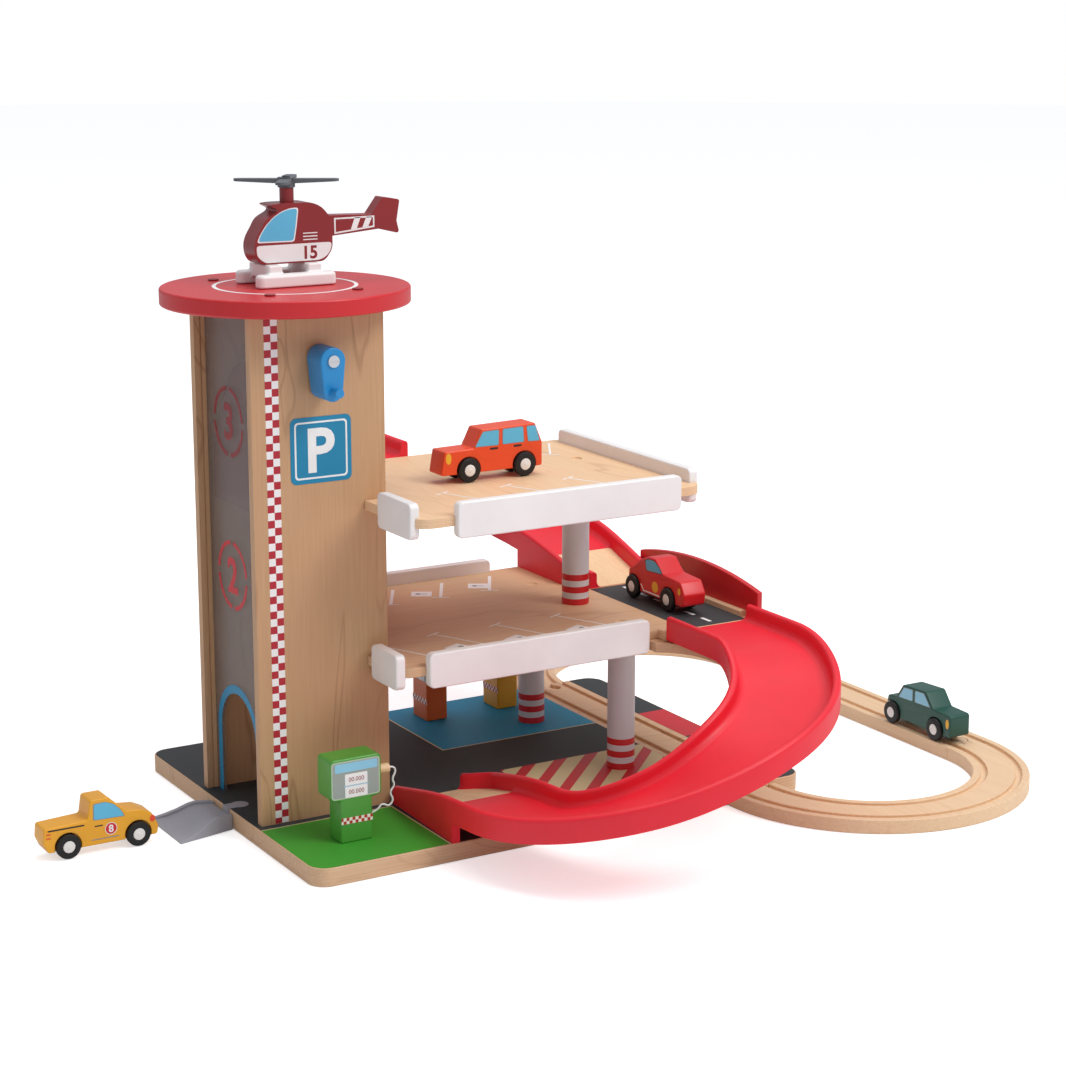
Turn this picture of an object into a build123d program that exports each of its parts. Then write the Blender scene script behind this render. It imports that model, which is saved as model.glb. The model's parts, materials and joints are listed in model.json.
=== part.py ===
"""Toy parking garage with a crank lift, two looping ramps, a train track loop and play vehicles.

Millimetres, +Z up.  The origin is the centre of the base board's underside: +X runs along the
board's long side towards the track loop, -Y is the front with the crank.
"""
from build123d import *
import math
import os

os.makedirs("parts", exist_ok=True)

# ---------------------------------------------------------------- driving dimensions
# Base board and storeys
BASE_LENGTH = 380.0
BASE_WIDTH = 280.0
BASE_THICKNESS = 12.5
BASE_CORNER_RADIUS = 13.0
STOREY = 106.3
DECK_THICKNESS = 6.5

# Wooden train track (the groove gauge is shared with the strip cut in the base board)
TRACK_WIDTH = 40.0
TRACK_THICKNESS = 10.0
TRACK_GAUGE = 24.2
GROOVE_WIDTH = 4.6
GROOVE_DEPTH = 2.5
TRACK_STRIP_X = 145.3
TRACK_LOOP_RADIUS = 97.5
PEG_RADIUS = 5.7
PEG_NECK_WIDTH = 6.0
PEG_REACH = 10.0
PEG_CLEARANCE = 0.4

# Lift tower
TOWER_X = -137.8
TOWER_Y = 0.5
TOWER_WIDTH = 95.0
TOWER_INNER_GAP = 84.2
TOWER_WALL = 6.4
TOWER_HEIGHT = 340.0
WINDOW_THICKNESS = 2.0
WINDOW_RECESS = 7.8
PANEL_LINE_INSET = 4.0
PANEL_LINE_WIDTH = 1.0
ARCH_Y = 4.4
ARCH_HALF_WIDTH = 28.2
ARCH_SPRING_HEIGHT = 48.0
GUIDE_WIDTH = 5.0
GUIDE_DEPTH = 2.2

# Landing disc on top of the tower
DISC_Y = -0.6
DISC_RADIUS = 82.2
DISC_THICKNESS = 11.3
DISC_EDGE_RADIUS = 1.5
DISC_SCREW_OFFSET = 31.0
SCREW_HEAD_RADIUS = 3.6
SCREW_HEAD_HEIGHT = 1.0
SCREW_SHANK_RADIUS = 1.5
SCREW_DEPTH_IN_WALL = 16.0

# Lift car, drum and crank
CAR_LENGTH = 82.6
CAR_WALL = 2.6
CAR_SIDE_GAP = 1.1
CAR_FLOOR_THICKNESS = 6.7
CAR_DRUM_GAP = 5.0
CAR_SHOULDER_HEIGHT = 41.0
CAR_TOP_LENGTH = 52.0
CAR_TOP_RADIUS = 12.0
CAR_TOWER_SETBACK = 0.2
GUIDE_CLEARANCE = 0.4
CRANK_DROP = 29.5
AXLE_RADIUS = 3.0
AXLE_CLEARANCE = 0.05
AXLE_SOCKET_DEPTH = 4.0
DRUM_RADIUS = 10.0
DRUM_LENGTH = 44.0
ARM_HUB_RADIUS = 8.8
ARM_TIP_RADIUS = 6.8
ARM_LENGTH = 19.5
ARM_THICKNESS = 20.4
ARM_WALL_GAP = 2.6
KNOB_RADIUS = 3.0
KNOB_LENGTH = 9.0
ARM_EDGE_RADIUS = 1.2
CRANK_SCREW_RADIUS = 3.9
CRANK_SCREW_HEIGHT = 1.2
CRANK_SLOT_LENGTH = 6.0
CRANK_SLOT_WIDTH = 0.8
CRANK_SLOT_DEPTH = 0.5

# Decks: left edge by the tower, and the outlines of level 2 and level 3
DECK_TOWER_GAP = 0.2
DECK2_LEFT = -105.6
DECK2_RIGHT = 176.5
DECK2_FRONT = -91.2
DECK2_BACK = 116.3
ROAD_TAB_LEFT = 98.0
ROAD_TAB_FRONT = -100.7
DECK3_LEFT = -106.0
DECK3_RIGHT = 115.6
DECK3_FRONT = -120.7
DECK3_BACK = 69.5
DECK_FRONT_RADIUS = 14.0
DECK_BACK_RADIUS = 8.0
COLUMN_RADIUS = 9.75
FRONT_COLUMN = (87.4, -60.8)
BACK_COLUMN = (87.4, 64.8)
UPPER_COLUMN = (87.3, 1.7)
COLUMN_SCREW_RADIUS = 4.2
COLUMN_SCREW_DEPTH = 1.2

# Rails let into the deck edges
RAIL_THICKNESS = 7.0
RAIL_ABOVE_DECK = 9.5
RAIL_BELOW_DECK = 14.5
RAIL_CORNER_RADIUS = 4.0
RAIL3_FRONT_PROUD = 4.3
RAIL2_FRONT_PROUD = 5.3
RAIL2_BACK_INSET = 4.0
RAIL3_LEFT_PROUD = 1.0
RAIL3_RIGHT_PROUD = 0.4
RAIL2_FRONT_SPAN = (-84.0, 88.0)
RAIL2_LEFT_SPAN = (-90.0, -53.0)
RAIL2_BACK_SPAN = (-92.0, 79.3)
RAIL3_FRONT_SPAN = (-77.7, 93.5)
RAIL3_LEFT_SPAN = (-114.5, -68.0)
RAIL3_RIGHT_SPAN = (-110.5, 63.0)

# Landing at the head of the lower ramp
LANDING_THICKNESS = 6.8
LANDING_LEFT = 90.0
LANDING_TONGUE_LEFT = 111.0
LANDING_RIGHT = 172.0
LANDING_BACK = -75.0
LANDING_FILLET_FRONT = -142.0
LANDING_END = -154.0
LANDING_SWEEP = (1.0, -0.6)
GUARD_THICKNESS = 4.5
GUARD_FRONT = -105.0
GUARD_BACK = 47.0
GUARD_END_HEIGHT = 19.5
GUARD_CROWN = 8.7
CURB_WIDTH = 5.0
CURB_HEIGHT = 4.2
CURB_FRONT = -92.0
CURB_EDGE_RADIUS = 1.0

# Looping ramps (both storeys use the same moulding with their own straight ends)
RAMP_INNER_RADIUS = 58.7
RAMP_OUTER_RADIUS = 131.3
RAMP_WALL = 5.5
RAMP_RIM = 11.1
RAMP_FLOOR = 1.8
RAMP_WALL_DROP = 5.3
RAMP_RIM_CHAMFER = 1.6
RAMP_EXIT_FLARE = 12.0
RAMP_FLARE_LENGTH = 23.0
RAMP_PLATE_LENGTH = 55.5
LOWER_RAMP_CENTRE = (39.6, -159.3)
UPPER_RAMP_CENTRE = (46.4, 125.4)
LOWER_RAMP_EXIT = -49.3
UPPER_RAMP_EXIT = 29.0
LOWER_EXIT_TAPER = 2.7
UPPER_EXIT_TAPER = 7.8
RAMP_SKIRT_SETBACK = 0.5
RAMP_FOOT_LENGTH = 44.0
RAMP_FOOT_INSET = 10.0
RAMP_LIP_REACH = 9.0
RAMP_LIP_THICKNESS = 3.0
FIT_GAP = 0.3
# Share of the storey still to go, against the share of the way travelled down a ramp
RAMP_PROFILE = [(0.0, 1.0), (0.12, 1.0), (0.25, 0.855), (0.40, 0.675),
                (0.55, 0.413), (0.70, 0.226), (0.85, 0.151), (1.0, 0.008)]

# Entry ramp on the floor at the board's left edge
ENTRY_LENGTH = 41.6
ENTRY_TIP_WIDTH = 59.0
ENTRY_WIDTH = 34.0
ENTRY_TIP_Y = 9.5
ENTRY_Y = 6.1
ENTRY_CURB_WIDTH = 3.6
ENTRY_ROAD_DROP = 1.7
ENTRY_LEAST_THICKNESS = 0.6
ENTRY_KEY_Y = 1.0
ENTRY_KEY_RADIUS = 6.2
ENTRY_KEY_NECK = 10.0
ENTRY_KEY_REACH = 10.0
# Distance from the tip and height of its curbs' tops
ENTRY_PROFILE = [(0.0, 1.0), (4.1, 1.3), (10.3, 3.3), (17.6, 6.1), (24.9, 9.8), (28.6, 10.9),
                 (32.2, 11.3), (38.7, 11.1), (41.6, 10.3)]

# Fuel pumps
PUMP_NECK_WIDTH = 22.8
PUMP_NECK_DEPTH = 17.5
PUMP_NECK_HEIGHT = 28.7
PUMP_HEAD_WIDTH = 36.6
PUMP_HEAD_DEPTH = 20.0
PUMP_HEIGHT = 57.4
PUMP_EDGE_RADIUS = 3.2
PUMP_SHOULDER = 1.0
# Centres of the heads, in from the board's left end and from its front or back edge
GREEN_PUMP_INSET = (47.0, 45.9)
ORANGE_PUMP_INSET = (217.0, 28.4)
YELLOW_PUMP_INSET = (278.1, 28.4)
NOZZLE_RADIUS = 3.3
NOZZLE_LENGTH = 9.9
NOZZLE_HEIGHT = 42.7
HOSE_DIAMETER = 1.3
HOSE_BEND_SHARE = 0.45

# Helicopter on the disc
HELI_Y_OFFSET = 6.7
HELI_THICKNESS = 18.3
HELI_TAIL_THICKNESS = 10.8
HELI_MAST_RADIUS = 4.65
HELI_MAST_X = 5.5
HELI_MAST_HEIGHT = 9.4
HELI_ROTOR_PIN_RADIUS = 1.5
HELI_PIN_HEAD_RADIUS = 2.7
HELI_PIN_HEAD_HEIGHT = 0.8
HELI_HUB_RADIUS = 5.7
HELI_ROTOR_THICKNESS = 3.2
HELI_HUB_HEIGHT = 6.4
HELI_BLADE_SETBACK = 0.8
HELI_BLADE_LENGTH = 34.4
HELI_BLADE_WIDTH = 8.0
HELI_TIP_THICKNESS = 1.6
HELI_ROTOR_HEADING = -30.4
HELI_SKID_LENGTH = 56.3
HELI_SKID_X = 3.5
HELI_SKID_WIDTH = 9.5
HELI_SKID_HEIGHT = 8.6
HELI_SKID_PITCH = 32.0
HELI_SKID_END_FLAT = 0.25
HELI_SKID_EDGE_RADIUS = 2.6
HELI_STRUT_OFFSET = 14.0
HELI_STRUT_LENGTH = 10.0
HELI_STRUT_LET_IN = 4.0
HELI_BODY_BOTTOM = 14.1
HELI_TAIL_RADIUS = 1.5

# Play cars: cut from a board, with wheels let into half arches
CAR_BODY_WIDTH = 18.5
WHEEL_RADIUS = 8.4
WHEEL_WIDTH = 4.5
WHEEL_PROUD = 2.0
ARCH_CLEARANCE = 1.0
HUB_RADIUS = 3.75
HUB_DEPTH = 0.8
CAR_AXLE_RADIUS = 1.2
TYRE_EDGE_RADIUS = 0.8
CAR_ARRIS_RADIUS = 1.0
STAND_GAP = 0.25
# Each car's front wheel along its own way, and the near face of its body
SUV_PLACE = (-19.7, -34.0)
PICKUP_PLACE = (-256.5, -7.9)
RED_CAR_PLACE = (-53.5, 130.9)
SEDAN_PLACE = (-122.2, 323.1)

# ---------------------------------------------------------------- levels worked out from the above
BASE_TOP = BASE_THICKNESS
DECK2_TOP = BASE_TOP + STOREY
DECK3_TOP = DECK2_TOP + STOREY
TOWER_LEFT = TOWER_X - TOWER_WIDTH / 2
TOWER_RIGHT = TOWER_X + TOWER_WIDTH / 2
TOWER_TOP = BASE_TOP + TOWER_HEIGHT
FRONT_WALL_IN = TOWER_Y - TOWER_INNER_GAP / 2
FRONT_WALL_OUT = FRONT_WALL_IN - TOWER_WALL
BACK_WALL_IN = TOWER_Y + TOWER_INNER_GAP / 2
BACK_WALL_OUT = BACK_WALL_IN + TOWER_WALL
DISC_TOP = TOWER_TOP + DISC_THICKNESS
CRANK_Z = TOWER_TOP - CRANK_DROP
BOARD_LEFT = -BASE_LENGTH / 2
BOARD_FRONT = -BASE_WIDTH / 2
BOARD_BACK = BASE_WIDTH / 2
GUARD_IN = DECK2_RIGHT - GUARD_THICKNESS


# ---------------------------------------------------------------- helpers
def block(x_span, y_span, z_span):
    """A box from its three (low, high) spans."""
    size = [high - low for low, high in (x_span, y_span, z_span)]
    centre = [(high + low) / 2 for low, high in (x_span, y_span, z_span)]
    return Pos(*centre) * Box(*size)


def rod(radius, start, end):
    """A round bar between two points that lie on one axis direction."""
    line = Vector(*end) - Vector(*start)
    return Plane(origin=start, z_dir=line) * extrude(Circle(radius), line.length)


def outline(points, corner_radius=0.0):
    """A closed flat outline with equally rounded corners, always facing up."""
    turning = sum(x0 * y1 - x1 * y0 for (x0, y0), (x1, y1) in zip(points, points[1:] + points[:1]))
    face = Polygon(*(points if turning > 0 else points[::-1]), align=None)
    if corner_radius > 0:
        face = fillet(face.vertices(), corner_radius)
    return face


def slab(face, z_span):
    """A flat outline raised from z low to z high."""
    return Pos(0, 0, z_span[0]) * extrude(face, z_span[1] - z_span[0])


def along_y(face, y_span):
    """An outline drawn in X and Z, run along Y."""
    plane = Plane(origin=(0, y_span[1], 0), x_dir=(1, 0, 0), z_dir=(0, -1, 0))
    return plane * extrude(face, y_span[1] - y_span[0])


def along_x(face, x_span):
    """An outline drawn in Y and Z, run along X."""
    plane = Plane(origin=(x_span[0], 0, 0), x_dir=(0, 1, 0), z_dir=(1, 0, 0))
    return plane * extrude(face, x_span[1] - x_span[0])


def round_corners(face, corners, radius):
    """Round the outline's corners that lie nearest to the given points."""
    picked = [face.vertices().sort_by_distance(Vector(x, y, 0))[0] for x, y in corners]
    return fillet(picked, radius)


def save(name, *solids):
    """Write one sub-part, as one solid or as several that move together."""
    pieces = [solid for item in solids for solid in item.solids()]
    shape = pieces[0] if len(pieces) == 1 else Compound(children=pieces)
    shape.label = name
    export_step(shape, f"parts/{name}.step")


# ---------------------------------------------------------------- track joints and grooves
def key_shape(at, heading, radius, neck_width, reach, height):
    """A round-headed key that reaches out from a track's end face along its heading."""
    neck = Pos(reach / 2, 0) * Rectangle(reach, neck_width)
    head = Pos(reach, 0) * Circle(radius)
    flat = Pos(*at) * Rot(0, 0, heading) * (neck + head)
    return slab(flat, (0, height))


def track_peg(at, heading):
    return key_shape(at, heading, PEG_RADIUS, PEG_NECK_WIDTH, PEG_REACH, TRACK_THICKNESS)


def track_socket(at, heading, depth):
    width = PEG_NECK_WIDTH + 2 * PEG_CLEARANCE
    return key_shape(at, heading, PEG_RADIUS + PEG_CLEARANCE, width, PEG_REACH, depth)


def straight_grooves(centre_x, y_span, top):
    cuts = [block((centre_x + side * TRACK_GAUGE / 2 - GROOVE_WIDTH / 2,
                   centre_x + side * TRACK_GAUGE / 2 + GROOVE_WIDTH / 2),
                  y_span, (top - GROOVE_DEPTH, top + 1)) for side in (-1, 1)]
    return cuts[0] + cuts[1]


# ---------------------------------------------------------------- base board
LOOP_CENTRE_X = TRACK_STRIP_X + TRACK_LOOP_RADIUS
SIDE_TRACK_X = LOOP_CENTRE_X + TRACK_LOOP_RADIUS


def base_board():
    face = fillet(Rectangle(BASE_LENGTH, BASE_WIDTH).vertices(), BASE_CORNER_RADIUS)
    board = slab(face, (0, BASE_TOP))
    board -= straight_grooves(TRACK_STRIP_X, (BOARD_FRONT - 1, BOARD_BACK + 1), BASE_TOP)
    board -= track_socket((TRACK_STRIP_X, BOARD_FRONT), 90, BASE_TOP)
    board -= track_socket((TRACK_STRIP_X, BOARD_BACK), -90, BASE_TOP)
    board -= key_shape((BOARD_LEFT, ENTRY_KEY_Y), 0, ENTRY_KEY_RADIUS + FIT_GAP,
                       ENTRY_KEY_NECK + 2 * FIT_GAP, ENTRY_KEY_REACH, BASE_TOP)
    return board


# ---------------------------------------------------------------- lift tower
WALL_GUIDE = GUIDE_WIDTH / 2
SCREW_SPOTS = [(TOWER_X + side * DISC_SCREW_OFFSET, wall)
               for side in (-1, 1)
               for wall in (FRONT_WALL_IN - TOWER_WALL / 2, BACK_WALL_IN + TOWER_WALL / 2)]


def screw_bore(radius, z_span):
    bores = [rod(radius, (x, y, z_span[0]), (x, y, z_span[1])) for x, y in SCREW_SPOTS]
    return bores[0] + bores[1] + bores[2] + bores[3]


def tower_wall(inner_y, outer_y):
    """One wooden side of the tower, with the lift car's guide groove and a shadow line by the panel."""
    wall = block((TOWER_LEFT, TOWER_RIGHT), (min(inner_y, outer_y), max(inner_y, outer_y)),
                 (BASE_TOP, TOWER_TOP))
    away = 1 if outer_y > inner_y else -1
    groove_ends = sorted((inner_y - away, inner_y + away * GUIDE_DEPTH))
    wall -= block((TOWER_X - WALL_GUIDE, TOWER_X + WALL_GUIDE), groove_ends,
                  (BASE_TOP, TOWER_TOP - TOWER_WALL))
    line_x = TOWER_LEFT + PANEL_LINE_INSET
    line_ends = sorted((inner_y - away, inner_y + away * PANEL_LINE_WIDTH))
    wall -= block((line_x, line_x + PANEL_LINE_WIDTH), line_ends, (BASE_TOP - 1, TOWER_TOP + 1))
    bore_radius = SCREW_SHANK_RADIUS + AXLE_CLEARANCE
    wall -= screw_bore(bore_radius, (TOWER_TOP - SCREW_DEPTH_IN_WALL - 1, TOWER_TOP + 1))
    return wall


def tower_front_wall():
    bore = rod(AXLE_RADIUS + AXLE_CLEARANCE, (TOWER_X, FRONT_WALL_OUT - 1, CRANK_Z),
               (TOWER_X, FRONT_WALL_IN + 1, CRANK_Z))
    return tower_wall(FRONT_WALL_IN, FRONT_WALL_OUT) - bore


def tower_back_wall():
    socket = rod(AXLE_RADIUS + AXLE_CLEARANCE, (TOWER_X, BACK_WALL_IN - 1, CRANK_Z),
                 (TOWER_X, BACK_WALL_IN + AXLE_SOCKET_DEPTH, CRANK_Z))
    return tower_wall(BACK_WALL_IN, BACK_WALL_OUT) - socket


WINDOW_LEFT = TOWER_LEFT + WINDOW_RECESS
WINDOW_RIGHT = WINDOW_LEFT + WINDOW_THICKNESS


def tower_window_panel():
    """Clear panel between the walls, with the drive-through arch at its foot."""
    panel = block((WINDOW_LEFT, WINDOW_RIGHT), (FRONT_WALL_IN, BACK_WALL_IN), (BASE_TOP, TOWER_TOP))
    spring = BASE_TOP + ARCH_SPRING_HEIGHT
    reach = (WINDOW_LEFT - 1, WINDOW_RIGHT + 1)
    doorway = block(reach, (ARCH_Y - ARCH_HALF_WIDTH, ARCH_Y + ARCH_HALF_WIDTH),
                    (BASE_TOP - 1, spring))
    doorway += rod(ARCH_HALF_WIDTH, (reach[0], ARCH_Y, spring), (reach[1], ARCH_Y, spring))
    return panel - doorway


# ---------------------------------------------------------------- landing disc
def helipad_disc():
    disc = Pos(TOWER_X, DISC_Y, TOWER_TOP) * extrude(Circle(DISC_RADIUS), DISC_THICKNESS)
    disc = fillet(disc.edges().filter_by(GeomType.CIRCLE), DISC_EDGE_RADIUS)
    disc -= screw_bore(SCREW_SHANK_RADIUS + AXLE_CLEARANCE, (TOWER_TOP - 1, DISC_TOP + 1))
    return disc


def helipad_screws():
    screws = []
    for x, y in SCREW_SPOTS:
        shank = rod(SCREW_SHANK_RADIUS, (x, y, TOWER_TOP - SCREW_DEPTH_IN_WALL), (x, y, DISC_TOP))
        head = rod(SCREW_HEAD_RADIUS, (x, y, DISC_TOP), (x, y, DISC_TOP + SCREW_HEAD_HEIGHT))
        screws.append(shank + head)
    return screws


# ---------------------------------------------------------------- lift car
CAR_CENTRE_X = (WINDOW_RIGHT + TOWER_RIGHT) / 2 - CAR_TOWER_SETBACK
CAR_LEFT = CAR_CENTRE_X - CAR_LENGTH / 2
CAR_RIGHT = CAR_CENTRE_X + CAR_LENGTH / 2
CAR_FRONT = FRONT_WALL_IN + CAR_SIDE_GAP
CAR_BACK = BACK_WALL_IN - CAR_SIDE_GAP
CAR_BOTTOM = DECK3_TOP - CAR_FLOOR_THICKNESS
CAR_TOP = CRANK_Z - DRUM_RADIUS - CAR_DRUM_GAP


def lift_car():
    """Open-ended cabin: floor, two shouldered sides, a roof strap and a rib for each groove."""
    shoulder = CAR_BOTTOM + CAR_SHOULDER_HEIGHT
    top_left = CAR_CENTRE_X - CAR_TOP_LENGTH / 2
    top_right = CAR_CENTRE_X + CAR_TOP_LENGTH / 2
    side_points = [(CAR_LEFT, CAR_BOTTOM), (CAR_RIGHT, CAR_BOTTOM), (CAR_RIGHT, shoulder),
                   (top_right, CAR_TOP), (top_left, CAR_TOP), (CAR_LEFT, shoulder)]
    side = outline(side_points)
    side = round_corners(side, [(top_left, CAR_TOP), (top_right, CAR_TOP)], CAR_TOP_RADIUS)
    car = along_y(side, (CAR_FRONT, CAR_FRONT + CAR_WALL))
    car += along_y(side, (CAR_BACK - CAR_WALL, CAR_BACK))
    car += block((CAR_LEFT, CAR_RIGHT), (CAR_FRONT, CAR_BACK),
                 (CAR_BOTTOM, CAR_BOTTOM + CAR_FLOOR_THICKNESS))
    strap = CAR_TOP_LENGTH / 2 - CAR_TOP_RADIUS
    car += block((CAR_CENTRE_X - strap, CAR_CENTRE_X + strap), (CAR_FRONT, CAR_BACK),
                 (CAR_TOP - CAR_WALL, CAR_TOP))
    rib_half = WALL_GUIDE - GUIDE_CLEARANCE
    rib_out = GUIDE_DEPTH - GUIDE_CLEARANCE
    rib_x = (TOWER_X - rib_half, TOWER_X + rib_half)
    rib_z = (CAR_BOTTOM, CAR_TOP - CAR_WALL)
    car += block(rib_x, (FRONT_WALL_IN - rib_out, CAR_FRONT), rib_z)
    car += block(rib_x, (CAR_BACK, BACK_WALL_IN + rib_out), rib_z)
    return car


# ---------------------------------------------------------------- crank, axle and winding drum
ARM_BACK = FRONT_WALL_OUT - ARM_WALL_GAP
ARM_FRONT = ARM_BACK - ARM_THICKNESS


def crank_arm():
    """Drop-shaped block with its boss against the wall and a grip knob at the foot."""
    hub = Pos(TOWER_X, CRANK_Z) * Circle(ARM_HUB_RADIUS)
    tip = Pos(TOWER_X, CRANK_Z - ARM_LENGTH) * Circle(ARM_TIP_RADIUS)
    arm = along_y(make_hull((hub + tip).edges()), (ARM_FRONT, ARM_BACK))
    arm = fillet(arm.edges().group_by(Axis.Y)[0], ARM_EDGE_RADIUS)
    arm += rod(ARM_TIP_RADIUS, (TOWER_X, ARM_BACK, CRANK_Z), (TOWER_X, FRONT_WALL_OUT - FIT_GAP, CRANK_Z))
    tip_z = CRANK_Z - ARM_LENGTH
    arm += rod(KNOB_RADIUS, (TOWER_X, ARM_FRONT + 1, tip_z), (TOWER_X, ARM_FRONT - KNOB_LENGTH, tip_z))
    bore_end = FRONT_WALL_OUT + 1
    return arm - rod(AXLE_RADIUS + AXLE_CLEARANCE, (TOWER_X, ARM_FRONT - 1, CRANK_Z),
                     (TOWER_X, bore_end, CRANK_Z))


def crank_axle():
    return rod(AXLE_RADIUS, (TOWER_X, ARM_FRONT, CRANK_Z),
               (TOWER_X, BACK_WALL_IN + AXLE_SOCKET_DEPTH - FIT_GAP, CRANK_Z))


def winding_drum():
    half = DRUM_LENGTH / 2
    drum = rod(DRUM_RADIUS, (TOWER_X, TOWER_Y - half, CRANK_Z), (TOWER_X, TOWER_Y + half, CRANK_Z))
    return drum - rod(AXLE_RADIUS + AXLE_CLEARANCE, (TOWER_X, TOWER_Y - half - 1, CRANK_Z),
                      (TOWER_X, TOWER_Y + half + 1, CRANK_Z))


def crank_screw():
    face = ARM_FRONT - CRANK_SCREW_HEIGHT
    head = rod(CRANK_SCREW_RADIUS, (TOWER_X, ARM_FRONT, CRANK_Z), (TOWER_X, face, CRANK_Z))
    slot = block((TOWER_X - CRANK_SLOT_LENGTH / 2, TOWER_X + CRANK_SLOT_LENGTH / 2),
                 (face - 1, face + CRANK_SLOT_DEPTH),
                 (CRANK_Z - CRANK_SLOT_WIDTH / 2, CRANK_Z + CRANK_SLOT_WIDTH / 2))
    return head - slot


# ---------------------------------------------------------------- rails
def rail_spans(top, x_span, y_span):
    """The three spans of a rail that stands in the edge of a deck with this top."""
    return x_span, y_span, (top - RAIL_BELOW_DECK, top + RAIL_ABOVE_DECK)


def from_face(low):
    """A rail's thickness, from its outer or inner face."""
    return low, low + RAIL_THICKNESS


RAILS = {
    "rail_level_2_front": rail_spans(DECK2_TOP, RAIL2_FRONT_SPAN, from_face(DECK2_FRONT - RAIL2_FRONT_PROUD)),
    "rail_level_2_left": rail_spans(DECK2_TOP, from_face(DECK2_LEFT), RAIL2_LEFT_SPAN),
    "rail_level_2_back": rail_spans(DECK2_TOP, RAIL2_BACK_SPAN, from_face(DECK2_BACK - RAIL2_BACK_INSET)),
    "rail_level_3_front": rail_spans(DECK3_TOP, RAIL3_FRONT_SPAN, from_face(DECK3_FRONT - RAIL3_FRONT_PROUD)),
    "rail_level_3_left": rail_spans(DECK3_TOP, from_face(DECK3_LEFT - RAIL3_LEFT_PROUD), RAIL3_LEFT_SPAN),
    "rail_level_3_right": rail_spans(DECK3_TOP, from_face(DECK3_RIGHT + RAIL3_RIGHT_PROUD - RAIL_THICKNESS),
                                     RAIL3_RIGHT_SPAN),
}


def rail(name):
    """A white board on edge, its upper and lower corners rounded."""
    x_span, y_span, z_span = RAILS[name]
    plate = block(x_span, y_span, z_span)
    long_in_x = x_span[1] - x_span[0] > y_span[1] - y_span[0]
    across = Axis.Y if long_in_x else Axis.X
    return fillet(plate.edges().filter_by(across), RAIL_CORNER_RADIUS)


def cut_for_rails(deck, level):
    for name, spans in RAILS.items():
        if level in name:
            deck -= block(*spans)
    return deck


# ---------------------------------------------------------------- decks, columns and landing
TOWER_EDGE_X = TOWER_RIGHT + DECK_TOWER_GAP
TOWER_NOTCH_FRONT = FRONT_WALL_OUT - DECK_TOWER_GAP
TOWER_NOTCH_BACK = BACK_WALL_OUT + DECK_TOWER_GAP


def notch_points(left):
    """The way round the tower, from the back of the deck to its front."""
    return [(left, TOWER_NOTCH_BACK), (TOWER_EDGE_X, TOWER_NOTCH_BACK),
            (TOWER_EDGE_X, TOWER_NOTCH_FRONT), (left, TOWER_NOTCH_FRONT)]


def column_screw_hole(spot, top):
    """The shallow hole over the screw that holds a column under the deck."""
    return rod(COLUMN_SCREW_RADIUS, (*spot, top - COLUMN_SCREW_DEPTH), (*spot, top + 1))


def deck_level_2():
    points = [(DECK2_LEFT, DECK2_FRONT), (ROAD_TAB_LEFT, DECK2_FRONT),
              (ROAD_TAB_LEFT, ROAD_TAB_FRONT), (DECK2_RIGHT, ROAD_TAB_FRONT),
              (DECK2_RIGHT, DECK2_BACK), (DECK2_LEFT, DECK2_BACK)]
    face = outline(points + notch_points(DECK2_LEFT))
    face = round_corners(face, [(DECK2_LEFT, DECK2_FRONT)], DECK_FRONT_RADIUS)
    face = round_corners(face, [(DECK2_RIGHT, DECK2_BACK), (DECK2_LEFT, DECK2_BACK)], DECK_BACK_RADIUS)
    deck = slab(face, (DECK2_TOP - DECK_THICKNESS, DECK2_TOP))
    deck -= block((GUARD_IN, DECK2_RIGHT + 1), (ROAD_TAB_FRONT - 1, GUARD_BACK),
                  (DECK2_TOP - DECK_THICKNESS - 1, DECK2_TOP + 1))
    deck -= column_screw_hole(FRONT_COLUMN, DECK2_TOP) + column_screw_hole(BACK_COLUMN, DECK2_TOP)
    return cut_for_rails(deck, "level_2")


def deck_level_3():
    points = [(DECK3_LEFT, DECK3_FRONT), (DECK3_RIGHT, DECK3_FRONT),
              (DECK3_RIGHT, DECK3_BACK), (DECK3_LEFT, DECK3_BACK)]
    face = outline(points + notch_points(DECK3_LEFT))
    corners = [(DECK3_LEFT, DECK3_FRONT), (DECK3_RIGHT, DECK3_FRONT)]
    face = round_corners(face, corners, DECK_FRONT_RADIUS)
    face = round_corners(face, [(DECK3_RIGHT, DECK3_BACK), (DECK3_LEFT, DECK3_BACK)], DECK_BACK_RADIUS)
    deck = slab(face, (DECK3_TOP - DECK_THICKNESS, DECK3_TOP)) - column_screw_hole(UPPER_COLUMN, DECK3_TOP)
    return cut_for_rails(deck, "level_3")


def column(spot, z_span):
    return rod(COLUMN_RADIUS, (*spot, z_span[0]), (*spot, z_span[1]))


def landing_board():
    """Board under the road with a tongue that carries the head of the lower ramp."""
    top = DECK2_TOP - DECK_THICKNESS
    sweep_start = (LANDING_LEFT, ROAD_TAB_FRONT)
    sweep_end = (LANDING_TONGUE_LEFT, LANDING_FILLET_FRONT)
    edge = Line((LANDING_LEFT, LANDING_BACK), sweep_start)
    edge += Spline(sweep_start, sweep_end, tangents=[LANDING_SWEEP, (0, -1)])
    edge += Polyline(sweep_end, (LANDING_TONGUE_LEFT, LANDING_END), (LANDING_RIGHT, LANDING_END),
                     (LANDING_RIGHT, LANDING_BACK), (LANDING_LEFT, LANDING_BACK))
    return slab(make_face(edge), (top - LANDING_THICKNESS, top))


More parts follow.
